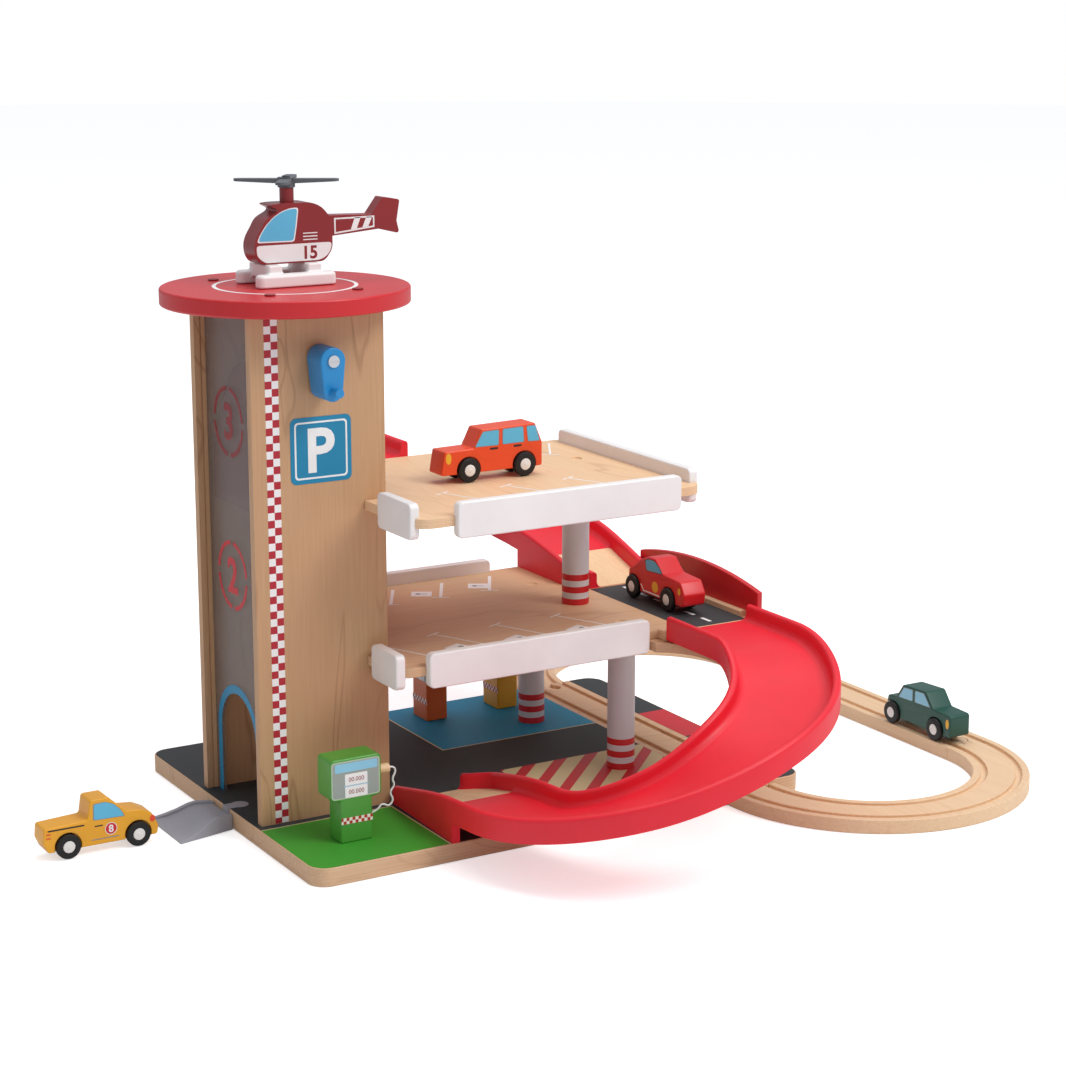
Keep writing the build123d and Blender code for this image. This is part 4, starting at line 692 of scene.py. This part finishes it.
def bay_marks(sheet, name, count, first, pitch, slant, width):
    """Lines a pitch apart along X, each with a cross bar centred on its foot."""
    along = slant / np.linalg.norm(slant)
    across = np.array([-along[1], along[0]]) * BAR_LENGTH / 2
    for number in range(count):
        foot = np.array([first[0] + pitch * number, first[1]])
        stroke(sheet, f"{name}_{number}_line", foot, foot + slant, width)
        stroke(sheet, f"{name}_{number}_bar", foot - across, foot + across, BAR_WIDTH)


BACK_SLANT = np.array([24.5, 43.5])
FRONT_SLANT = np.array([22.0, -48.0])
bay_marks(deck2, "bay_back", 3, (-31.6, 62.4), 40.9, BACK_SLANT * 0.86, 2.4)
bay_marks(deck2, "bay_front", 4, (-91.5, -23.0), 49.0, FRONT_SLANT, 1.3)
bay_marks(deck3, "top_bay_front", 3, (-52.0, -55.0), 49.0, FRONT_SLANT * 0.9, 1.3)
bay_marks(deck3, "top_bay_back", 4, (-60.0, 22.0), 46.0, BACK_SLANT * 0.85, 1.5)

PANEL_HALF_LENGTH, PANEL_HALF_WIDTH = 7.0, 7.5


def ground_panel(sheet, name, centre, slant):
    """A small slanted panel with a grey dot and a line, a plain plug sign for charging."""
    along = slant / np.linalg.norm(slant)
    across = np.array([-along[1], along[0]])
    centre = np.array(centre, float)
    forward, aside = along * PANEL_HALF_LENGTH, across * PANEL_HALF_WIDTH
    corners = [centre + a * forward + b * aside for a, b in ((-1, -1), (1, -1), (1, 1), (-1, 1))]
    sheet.plate(name, np.array(corners), white_ink, 0.1)
    sheet.plate(name + "_dot", ring(1.9, 16, centre + 2.6 * across), pane_edge_ink, 0.16)
    stroke(sheet, name + "_lead", centre + 0.9 * across, centre - 4.1 * across, 1.0, pane_edge_ink, 0.16)


for number, centre in enumerate(((2.0, 78.5), (49.5, 78.5))):
    ground_panel(deck2, f"panel_back_{number}", centre, BACK_SLANT)
for number, centre in enumerate(((-43.5, -61.5), (2.3, -62.5), (52.0, -62.0))):
    ground_panel(deck2, f"panel_front_{number}", centre, FRONT_SLANT)

ROAD_X, ROAD_Y = (116.0, 167.0), (-99.4, 28.0)
DASH_FIRST, DASH_PITCH, DASH_LENGTH, DASH_WIDTH = -92.0, 20.5, 11.0, 2.6
ROAD_MIDDLE = 141.3
deck2.plate("road", rounded(ROAD_X, ROAD_Y, 0.4), road_ink, 0.1)
for number in range(6):
    start = DASH_FIRST + DASH_PITCH * number
    stroke(deck2, f"road_dash_{number}", (ROAD_MIDDLE, start), (ROAD_MIDDLE, start + DASH_LENGTH), DASH_WIDTH,
           level=0.18)

# %% [markdown]
# ## Signs on the tower
# A strip of red and white squares runs up the left of the front wall, a parking sign hangs under the
# crank, and the window carries the level numbers in rings.

# %% Print the tower
FRONT_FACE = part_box("tower_front_wall")[0].y / MM
front = Sheet("garage", (0, FRONT_FACE, 0), (1, 0, 0), (0, 0, 1), (0, -1, 0))
CHECK_WIDE, CHECK_HIGH, CHECK_EDGE = 4.7, 5.05, 138.0


def checks(name, first, second, size, offset):
    """Two-colour boxes on Object coordinates; size holds their X, Y and Z, zero where flat."""
    material, shader = blank(name)
    place = add(material, "ShaderNodeTexCoord").outputs["Object"]
    scale = [1 / (edge * MM) if edge else 0.0 for edge in size]
    spot = add(material, "ShaderNodeMapping", {"Vector": place, "Scale": scale, "Location": offset})
    squares = add(material, "ShaderNodeTexChecker", {"Vector": spot.outputs[0], "Color1": linear(first),
                                                     "Color2": linear(second), "Scale": 1.0})
    link(material, squares.outputs["Color"], shader.inputs["Base Color"])
    shader.inputs["Roughness"].default_value = 0.5
    return material


STRIP_X, STRIP_Z = (-175.4, -175.4 + 2 * CHECK_WIDE), (13.0, 351.8)
check_strip = checks("check_strip_ink", "#B3202F", "#F3F0EE", (CHECK_WIDE, 0.0, CHECK_HIGH),
                     (-STRIP_X[0] / CHECK_WIDE, 0.5, -CHECK_EDGE / CHECK_HIGH))
front.plate("check_strip", rounded(STRIP_X, STRIP_Z, 0.2), check_strip)

SIGN_X, SIGN_Z = (-158.6, -115.1), (240.4, 284.0)


def sign_outline(inset, corner):
    """The sign's rounded square, drawn in by an inset."""
    return rounded((SIGN_X[0] + inset, SIGN_X[1] - inset), (SIGN_Z[0] + inset, SIGN_Z[1] - inset), corner)


front.plate("parking_sign", sign_outline(0.0, 4.0), sign_blue, 0.3)
front.band("parking_sign_line", sign_outline(2.9, 2.6), sign_outline(4.1, 1.9), white_ink, 0.4)
front.digits("parking_sign_letter", "P", 29.0, (-136.6, 262.0), white_ink, 0.4, 1.0)

WINDOW_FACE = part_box("tower_window_panel")[0].x / MM
window = Sheet("garage", (WINDOW_FACE, 0, 0), (0, -1, 0), (0, 0, 1), (-1, 0, 0))
RING_RADIUS, RING_STROKE, RING_MIDDLE = 23.7, 2.8, -7.0
ARC_START, ARC_SWEEP = 6, 78
for level, height, ink in (("2", 171.2, red_ink), ("3", 275.4, ring_crimson)):
    middle = (RING_MIDDLE, height)
    window.digits(f"level_{level}", level, 24.2, middle, ink, 0.12, 0.9)
    for number in range(4):
        arc = (20, middle, np.radians(ARC_START + 90 * number), np.radians(ARC_SWEEP), False)
        outer, inner = ring(RING_RADIUS, *arc), ring(RING_RADIUS - RING_STROKE, *arc)
        window.plate(f"level_{level}_ring_{number}", np.vstack([outer, inner[::-1]]), ink)

ARCH_OUTER, ARCH_INNER = 34.2, 28.4
ARCH_MIDDLE, ARCH_SPRING, ARCH_FOOT = -4.4, BASE_TOP + 48.0, BASE_TOP + 0.2


def arch_line(radius):
    """Straight legs and a half circle."""
    arc = ring(radius, 32, (ARCH_MIDDLE, ARCH_SPRING), 0, np.pi, closed=False)
    return np.vstack([[(ARCH_MIDDLE + radius, ARCH_FOOT)], arc, [(ARCH_MIDDLE - radius, ARCH_FOOT)]])


window.plate("arch_border", np.vstack([arch_line(ARCH_OUTER), arch_line(ARCH_INNER)[::-1]]), sign_blue)
DISC_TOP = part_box("helipad_disc")[1].z / MM
DISC_X, DISC_Y = -137.8, -0.6
disc = Sheet("garage", (DISC_X, DISC_Y, DISC_TOP), (1, 0, 0), (0, 1, 0), (0, 0, 1))
disc.band("landing_ring", ring(47.8, 96), ring(45.2, 96), white_ink)

# %% [markdown]
# ## Looping ramps
# Each ramp is one plastic moulding: a trough that turns half round while it drops a storey, with
# round rims and a filleted floor.  The CAD solid has the same path with a plain section.  Here the
# section is a closed line of about forty points, carried along the path: each point is a wall's
# offset plus a small shift, and a height that starts from the rim, the floor, the underside or the
# foot.

# %% Path and section
STOREY = DECK2_TOP - BASE_TOP
INNER_RADIUS, OUTER_RADIUS = 58.7, 131.3
WALL, RIM, FLOOR, HANG, FILLET = 5.5, 11.1, 1.8, 5.3, 5.0
RIM_ROUND = WALL / 2 - 0.3
FLARE_LENGTH, FLARE = 23.0, 12.0
PLATE_LENGTH, PLATE_BED = 55.5, 2.6
MID_RADIUS = (INNER_RADIUS + OUTER_RADIUS) / 2
HALF_WIDTH = (OUTER_RADIUS - INNER_RADIUS) / 2
PROFILE_TRAVEL = np.array([0.0, 0.12, 0.25, 0.40, 0.55, 0.70, 0.85, 1.0])
PROFILE_SHARE = np.array([1.0, 1.0, 0.855, 0.675, 0.413, 0.226, 0.151, 0.008])


def height_share(travel):
    """Smooth curve through the profile: cubic Hermite pieces with neighbour slopes."""
    t, h = PROFILE_TRAVEL, PROFILE_SHARE
    slope = np.empty_like(h)
    slope[1:-1] = (h[2:] - h[:-2]) / (t[2:] - t[:-2])
    slope[0] = slope[1] = 0.0
    slope[-1] = (h[-1] - h[-2]) / (t[-1] - t[-2])
    part = np.clip(np.searchsorted(t, travel, side="right") - 1, 0, len(t) - 2)
    span = t[part + 1] - t[part]
    x = (travel - t[part]) / span
    rise = (1 + 2 * x) * (1 - x) ** 2 * h[part] + x * x * (3 - 2 * x) * h[part + 1]
    return rise + span * (x * (1 - x) ** 2 * slope[part] - x * x * (1 - x) * slope[part + 1])


def trough_section():
    """(wall number, shift, height base, lift) for each point, once round the section."""
    points = []

    def rim_arc(first, second):
        for turn in np.linspace(0, np.pi, 9):
            wall, side = (first, -1) if turn < np.pi / 2 else (second, 1)
            points.append((wall, RIM_ROUND * (np.cos(turn) + side), "rim", -RIM_ROUND * (1 - np.sin(turn))))

    def floor_arc(wall, sign, rising):
        turns = np.linspace(0, np.pi / 2, 7)
        for turn in (turns[::-1] if rising else turns):
            points.append((wall, -sign * FILLET * (1 - np.cos(turn)), "floor", FILLET * (1 - np.sin(turn))))

    points.append((0, 0.0, "foot", 0.0))
    rim_arc(0, 1)
    floor_arc(1, 1, False)
    floor_arc(2, -1, True)
    rim_arc(2, 3)
    below = ((3, "foot"), (2, "foot"), (2, "under"), (1, "under"), (1, "foot"))
    return points + [(wall, 0.0, base, 0.0) for wall, base in below]


SECTION = trough_section()


def ramp_surface(name, node, centre, turned, foot_z, start, leave, skirt, taper):
    """Carry the section along straight, half turn and straight; turned flips it half round."""
    turn = np.pi * MID_RADIUS
    total = start + turn + leave
    breaks = [total - skirt, total - PLATE_LENGTH]
    stations = np.unique(np.concatenate([np.linspace(0, start, 10), np.linspace(start, start + turn, 90),
                                         np.linspace(start + turn, total, 46), breaks]))
    skirt_at = np.searchsorted(stations, total - skirt)
    stations = np.insert(stations, skirt_at, stations[skirt_at])
    angle = np.clip((stations - start) / MID_RADIUS, 0, np.pi)
    outward = np.stack([np.cos(angle), -np.sin(angle)], -1)
    middle = MID_RADIUS * outward
    middle[:, 1] += np.clip(start - stations, 0, None) + np.clip(stations - start - turn, 0, None)
    to_exit = total - stations
    ease = np.clip(1 - to_exit / FLARE_LENGTH, 0, 1)
    right = HALF_WIDTH - taper * np.clip(1 - to_exit / skirt, 0, 1)
    left = -HALF_WIDTH + FLARE * ease * ease * (3 - 2 * ease)
    walls = np.stack([right, right - WALL, left + WALL, left], -1)
    floor = STOREY * height_share(stations / total)
    plate = to_exit < PLATE_LENGTH - 0.5
    hanging = np.arange(len(stations)) <= skirt_at
    bases = {"rim": floor + RIM,
             "floor": np.where(plate, np.maximum(floor - PLATE_BED, 0.1), floor),
             "under": np.where(plate, 0.02, np.maximum(floor - FLOOR, 0.05)),
             "foot": np.where(hanging, floor - HANG, 0.0)}
    offset = np.stack([walls[:, wall] + shift for wall, shift, _, _ in SECTION], -1)
    height = np.stack([np.maximum(bases[kind] + lift, 0.0) for _, _, kind, lift in SECTION], -1)
    x = middle[:, :1] + offset * outward[:, :1]
    y = middle[:, 1:] + offset * outward[:, 1:]
    if turned:
        x, y = -x, -y
    grid = MM * np.stack([x + centre[0], y + centre[1], height + foot_z], -1)
    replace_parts(skin(name, grid, "garage", red_moulding, crease=50), node)
    print(name, "drop", round(float(floor[0] - floor[-1]), 1), "way", round(float(total), 1))


LOWER_CENTRE, UPPER_CENTRE = (39.6, -159.3), (46.4, 125.4)
ramp_surface("lower_ramp_moulding", "ramp_lower", LOWER_CENTRE, False, BASE_TOP,
             start=58.3, leave=110.0, skirt=90.2, taper=2.7)
ramp_surface("upper_ramp_moulding", "ramp_upper", UPPER_CENTRE, True, DECK2_TOP,
             start=55.6, leave=96.4, skirt=87.3, taper=7.8)

# %% [markdown]
# ## Helicopter
# A block of painted wood with a rounded cabin.  Windows, band, vents and tail bars are printed on
# both sides.

# %% Print the helicopter
heli_low, heli_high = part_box("helicopter_body")
HELI_FACES = {"near": (heli_low.y / MM, -1.0), "far": (heli_high.y / MM, 1.0)}
TAIL_HALF = 5.4
HELI_MIDDLE = (heli_low.y + heli_high.y) / 2 / MM
CABIN_WINDOW = [(-20.6, 28.4), (-18.6, 33.0), (-14.3, 39.2), (-8.6, 44.6), (-2.4, 48.2), (3.6, 50.0),
                (9.6, 50.2), (8.1, 38.8), (6.2, 28.0)]
LOWER_BAND = [(-20.4, 19.6), (-21.0, 26.6), (33.0, 26.6), (32.8, 22.4), (29.8, 17.8), (24.4, 15.2),
              (-15.0, 15.2)]
VENT_LEFT, VENT_RIGHT, VENT_FOOT, VENT_PITCH = 12.5, 22.8, 29.0, 2.1
TAIL_OUTER = np.array([(36.8, 41.6), (66.5, 41.8), (66.5, 34.2), (37.0, 31.0)])
TAIL_INNER = np.array([(38.0, 40.6), (65.5, 40.7), (65.5, 35.2), (38.0, 32.2)])
TAIL_BARS = ([(49.0, 33.3), (53.4, 33.8), (56.4, 41.2), (52.0, 41.2)],
             [(57.5, 34.235), (61.9, 34.735), (64.9, 41.2), (60.5, 41.2)])
HELI_FOOT = DISC_TOP + 0.25


def heli_sheet(y, across, way):
    """An upright sheet on the helicopter at a Y, facing its way."""
    return Sheet("helicopter", (DISC_X, y, HELI_FOOT), (across, 0, 0), (0, 0, 1), (0, way, 0))


for side, (face_y, way) in HELI_FACES.items():
    sheet = heli_sheet(face_y, 1, way)
    outer = soft_polygon(CABIN_WINDOW, 2.0)
    inset = (outer - outer.mean(0)) * 0.93 + outer.mean(0)
    sheet.plate(f"heli_window_frame_{side}", outer, white_ink, 0.1)
    sheet.plate(f"heli_window_{side}", inset, sky_ink, 0.16)
    sheet.plate(f"heli_band_{side}", soft_polygon(LOWER_BAND, 2.5), white_ink)
    for number in range(3):
        height = VENT_FOOT + VENT_PITCH * number
        stroke(sheet, f"heli_vent_{side}_{number}", (VENT_LEFT, height), (VENT_RIGHT, height), 0.7, level=0.1)
    plain = heli_sheet(face_y, -way, way)
    plain.digits(f"heli_number_{side}", "15", 8.4, (-way * 17.8, 20.6), maroon_enamel, 0.2, 0.35)
    tail = heli_sheet(HELI_MIDDLE + way * TAIL_HALF, 1, way)
    tail.band(f"heli_tail_line_{side}", TAIL_OUTER, TAIL_INNER, white_ink)
    for number, bar in enumerate(TAIL_BARS):
        tail.plate(f"heli_tail_bar_{side}_{number}", np.array(bar), white_ink)

# %% [markdown]
# ## Play cars
# Each car is sawn from a board.  Its windows, lamps, handles and trims are printed on both sides.
# Wheels are turned: a tyre and a hub are profiles of radius and width spun round the axle.

# %% Wheels
WHEEL_RADIUS, WHEEL_WIDTH, WHEEL_PROUD = 8.4, 4.5, 2.0
CAR_HALF_WIDTH = 9.25
AXLE_HALF, AXLE_RADIUS = 8.8, 1.2


def turned(name, profile, centre, axis, body, finish, steps=48):
    """Spin (distance along the axis, radius) points round the axis through the centre."""
    profile = np.asarray(profile, float)
    turn = np.linspace(0, 2 * np.pi, steps, endpoint=False)
    axis = np.array(axis, float)
    side = np.array([0, 0, 1.0])
    other = np.cross(axis, side)
    spoke = np.cos(turn)[:, None] * side + np.sin(turn)[:, None] * other
    grid = np.array(centre) + profile[:, None, :1] * axis + profile[:, None, 1:2] * spoke[None]
    return skin(name, MM * grid, body, finish, caps=False, crease=35)


TYRE = [(0.6, 0.0), (0.6, 4.0), (0.0, 4.2), (0.0, 7.2), (0.25, 7.95), (0.9, WHEEL_RADIUS),
        (3.6, WHEEL_RADIUS), (4.25, 7.95), (WHEEL_WIDTH, 7.2), (WHEEL_WIDTH, 0.0)]
HUB = [(0.75, 0.0), (0.75, 4.0), (0.25, 4.1), (-0.05, 3.8), (-0.2, 3.0), (-0.25, 1.8), (-0.3, 1.4),
       (-0.55, 1.1), (-0.6, 0.0)]
AXLE = [(-AXLE_HALF, 0.0), (-AXLE_HALF, AXLE_RADIUS), (AXLE_HALF, AXLE_RADIUS), (AXLE_HALF, 0.0)]


def wheels(car, name, place, out):
    """Tyre and hub on each side of one axle; out points from the near side outwards."""
    body = f"{car}_{name}_wheels"
    for side, way in (("near", 1.0), ("far", -1.0)):
        face = np.array(place) + np.array(out) * way * (CAR_HALF_WIDTH + WHEEL_PROUD)
        inward = -np.array(out) * way
        turned(f"{car}_{name}_tyre_{side}", TYRE, face, inward, body, tyre_rubber)
        turned(f"{car}_{name}_hub_{side}", HUB, face, inward, body, hub_white)
    axle = turned(f"{car}_{name}_axle", AXLE, place, out, body, zinc_screw, 20)
    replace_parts(axle, f"{car}_{name}_wheelset")


# %% [markdown]
# ## Car prints
# A car's flat side is a sheet that runs from the front wheel towards the tail.  One list of shapes
# per car serves both sides.

# %% Car bodies and prints
CAR_ARRIS = 1.3


class Car:
    """A car's place: front wheel foot, direction along the body and the near side's way out."""

    def __init__(self, name, foot, along, out, wheelbase, finish):
        self.name = name
        self.foot = np.array(foot, float)
        self.along = np.array(along, float)
        self.out = np.array(out, float)
        eased(f"{name}_body", finish, CAR_ARRIS)
        hub = self.foot + [0, 0, WHEEL_RADIUS]
        wheels(name, "front", hub, out)
        wheels(name, "rear", hub + self.along * wheelbase, out)

    def sides(self):
        for side, way in (("near", 1.0), ("far", -1.0)):
            face = self.foot + self.out * way * CAR_HALF_WIDTH
            yield side, Sheet(self.name, face, self.along, (0, 0, 1), self.out * way)

    def both(self, part, outline, finish, level=0.12):
        for side, sheet in self.sides():
            sheet.plate(f"{self.name}_{part}_{side}", outline, finish, level)


def oval(half_width, half_height, centre):
    """A flat ellipse of 20 points."""
    return ring(1.0, 20, (0, 0)) * [half_width, half_height] + list(centre)


PANE_SHARE = 0.93


def window_pair(car, part, points, glass, surround=None):
    """A pane with its thin surround on both sides."""
    outer = soft_polygon(points, 1.2)
    pane = (outer - outer.mean(0)) * PANE_SHARE + outer.mean(0)
    car.both(part + "_surround", outer, surround or pane_edge_ink, 0.1)
    car.both(part, pane, glass, 0.16)


suv = Car("suv", (-19.7, -24.75, DECK3_TOP + 0.25), (1, 0, 0), (0, -1, 0), 43.6, orange_enamel)
for number, points in enumerate(([(4.6, 23.6), (10.9, 34.0), (23.8, 34.4), (23.5, 23.4)],
                                 [(26.1, 23.6), (26.3, 34.4), (42.8, 34.9), (43.6, 23.7)],
                                 [(46.4, 23.7), (45.2, 34.8), (52.4, 34.8), (56.0, 23.5)])):
    window_pair(suv, f"window_{number}", points, sky_ink)
suv.both("handle_0", rounded((16.4, 22.8), (20.8, 22.2), 0.7), dark_ink)
suv.both("handle_1", rounded((35.0, 41.4), (21.0, 22.4), 0.7), dark_ink)
suv.both("lamp", oval(2.1, 3.8, (-15.6, 17.6)), lamp_yellow)

pickup = Car("pickup", (-256.5, 1.35, 0.25), (1, 0, 0), (0, -1, 0), -48.4, yellow_enamel)
window_pair(pickup, "window", [(-31.0, 22.8), (-30.6, 34.0), (-22.4, 34.4), (-16.6, 32.2), (-11.6, 27.3),
                               (-8.8, 22.2)], sky_ink)
pickup.both("roundel_rim", ring(4.2, 28, (-18.8, 15.4)), white_ink, 0.1)
pickup.both("roundel", ring(3.8, 28, (-18.8, 15.4)), red_ink, 0.14)
for side, sheet in pickup.sides():
    upright = Sheet("pickup", sheet.origin, np.cross((0, 0, 1), -sheet.out), (0, 0, 1), sheet.out)
    place = upright.across @ pickup.along * -18.8
    upright.digits(f"pickup_number_{side}", "8", 5.0, (place, 15.4), white_ink, 0.2, 0.15)
pickup.both("bed_line", rounded((-62.0, -37.0), (20.3, 21.3), 0.4), dark_ink)
pickup.both("sill_line", rounded((-32.4, -13.4), (9.2, 9.8), 0.25), pane_edge_ink)
pickup.both("handle", rounded((-30.0, -24.4), (18.2, 19.0), 0.35), dark_ink)
pickup.both("tail_lamp_high", rounded((-63.2, -59.8), (17.9, 19.2), 0.5), orange_lacquer)
pickup.both("tail_lamp_low", rounded((-63.4, -60.0), (15.2, 16.5), 0.5), orange_lacquer)
pickup.both("lamp", oval(1.9, 2.4, (10.2, 17.2)), orange_enamel)

red_car = Car("red_car", (140.15, -53.5, DECK2_TOP + 0.25), (0, 1, 0), (-1, 0, 0), 45.5, fire_enamel)
window_pair(red_car, "window", [(7.4, 24.9), (10.8, 28.8), (17.6, 32.8), (26.0, 32.6), (30.4, 31.0),
                                (28.6, 23.6)], sky_ink, dark_ink)
red_car.both("badge", ring(4.0, 28, (17.0, 13.6)), lamp_yellow)
SILL_LINE = [(11.0, 7.6), (32.0, 7.6), (36.0, 12.0), (35.0, 12.6), (31.6, 8.6), (11.0, 8.6)]
red_car.both("sill_line", np.array(SILL_LINE), white_ink)
red_car.both("lamp", oval(1.6, 2.6, (-14.0, 17.0)), lamp_yellow)

sedan = Car("sedan", (332.35, -122.2, 10.25), (0, 1, 0), (-1, 0, 0), 49.8, pine_enamel)
for number, points in enumerate(([(6.0, 23.0), (13.6, 32.2), (24.0, 31.8), (24.2, 22.6)],
                                 [(26.6, 22.6), (26.4, 31.7), (37.0, 31.0), (43.2, 22.0)])):
    window_pair(sedan, f"window_{number}", points, pale_blue_ink)
sedan.both("lamp", oval(1.8, 3.6, (-13.6, 15.6)), lamp_yellow)

# %% [markdown]
# ## Fuel pumps
# A pump has a grey display with two figure windows, a plain blue heading band, and a checked strip
# on its neck.  The hose of the green one is a short limp tube: a smooth spline with
# its control points along the CAD route.

# %% Displays, strips and the hose
HEAD_DEPTH, CHECK_SMALL = 20.0, 2.15
CHECKS_X, CHECKS_Z = (-11.4, 11.0), (13.0, 17.3)
WINDOW_X, WINDOW_ROWS = (-8.0, 8.1), ((39.2, 46.9), (30.9, 38.5))
PUMP_PRINTS = (("display_rim", (-17.0, 17.7), (30.5, 55.8), 2.2, pale_green_ink, 0.12),
               ("display", (-16.2, 16.9), (31.3, 55.0), 1.8, display_grey, 0.18),
               ("heading", (-15.3, 15.2), (48.5, 54.4), 1.0, pale_blue_ink, 0.25),
               ("divider", (-9.0, 9.0), (38.6, 39.1), 0.2, pale_blue_ink, 0.25),
               ("window_0", WINDOW_X, WINDOW_ROWS[0], 0.5, white_ink, 0.25),
               ("window_1", WINDOW_X, WINDOW_ROWS[1], 0.5, white_ink, 0.25))


def pump_front(name, node, checks_finish, out):
    """Prints on a pump's front face; its sheet starts at the face's foot, in the neck's middle."""
    low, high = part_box(node)
    out = np.array(out, float)
    middle = np.array([(low.x + high.x) / 2, (low.y + high.y) / 2, low.z]) / MM
    face = middle + out * HEAD_DEPTH / 2
    head = Sheet("garage", face, np.cross((0, 0, 1), -out), (0, 0, 1), out)
    for part, across, up, corner, finish, level in PUMP_PRINTS:
        head.plate(f"{name}_{part}", rounded(across, up, corner), finish, level)
    for row, (foot, top) in enumerate(WINDOW_ROWS):
        head.digits(f"{name}_figures_{row}", "000.00", 3.0, (0, (foot + top) / 2), ring_crimson, 0.32)
    head.plate(f"{name}_checks", rounded(CHECKS_X, CHECKS_Z, 0.2), checks_finish, 0.15)


checks_front = checks("checks_front_ink", "#B8321F", "#F1EADF", (CHECK_SMALL, 0.0, CHECK_SMALL),
                      (0.0, 0.5, 0.13))
checks_side = checks("checks_side_ink", "#B8321F", "#F1EADF", (0.0, CHECK_SMALL, CHECK_SMALL),
                     (0.5, 0.0, 0.13))
pump_front("pump_green", "pump_green", checks_front, (0, -1, 0))
pump_front("pump_orange", "pump_orange", checks_side, (-1, 0, 0))
pump_front("pump_yellow", "pump_yellow", checks_side, (-1, 0, 0))

HOSE_DIAMETER = 1.3
NOZZLE_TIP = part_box("pump_green_nozzle")[1].x / MM
PUMP_MIDDLE = (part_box("pump_green")[0].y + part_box("pump_green")[1].y) / 2 / MM
HOSE_WAVES = [(0.0, 43.1), (4.0, 43.1), (5.8, 39.4), (2.6, 34.4), (5.0, 30.0), (0.6, 25.6),
              (3.9, 20.2), (0.4, 15.8), (-5.0, 19.2), (-8.6, 14.2), (-16.8, 13.0)]
HOSE_ROUTE = [(NOZZLE_TIP + x, PUMP_MIDDLE, BASE_TOP + z) for x, z in HOSE_WAVES]


def pump_hose():
    """A NURBS spline of order 3 through the route's control points, with a round bevel."""
    curve = bpy.data.curves.new("pump_hose", "CURVE")
    curve.dimensions = "3D"
    spline = curve.splines.new("NURBS")
    spline.points.add(len(HOSE_ROUTE) - 1)
    for point, place in zip(spline.points, HOSE_ROUTE):
        point.co = [v * MM for v in place] + [1.0]
    spline.order_u = 3
    spline.use_endpoint_u = True
    curve.bevel_depth = HOSE_DIAMETER / 2 * MM
    curve.bevel_resolution = 4
    curve.resolution_u = 12
    curve.use_fill_caps = True
    curve.materials.append(white_hose)
    hose = bpy.data.objects.new("pump_hose", curve)
    bpy.context.scene.collection.objects.link(hose)
    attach(hose, "garage")
    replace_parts(hose, "pump_green_hose")


pump_hose()
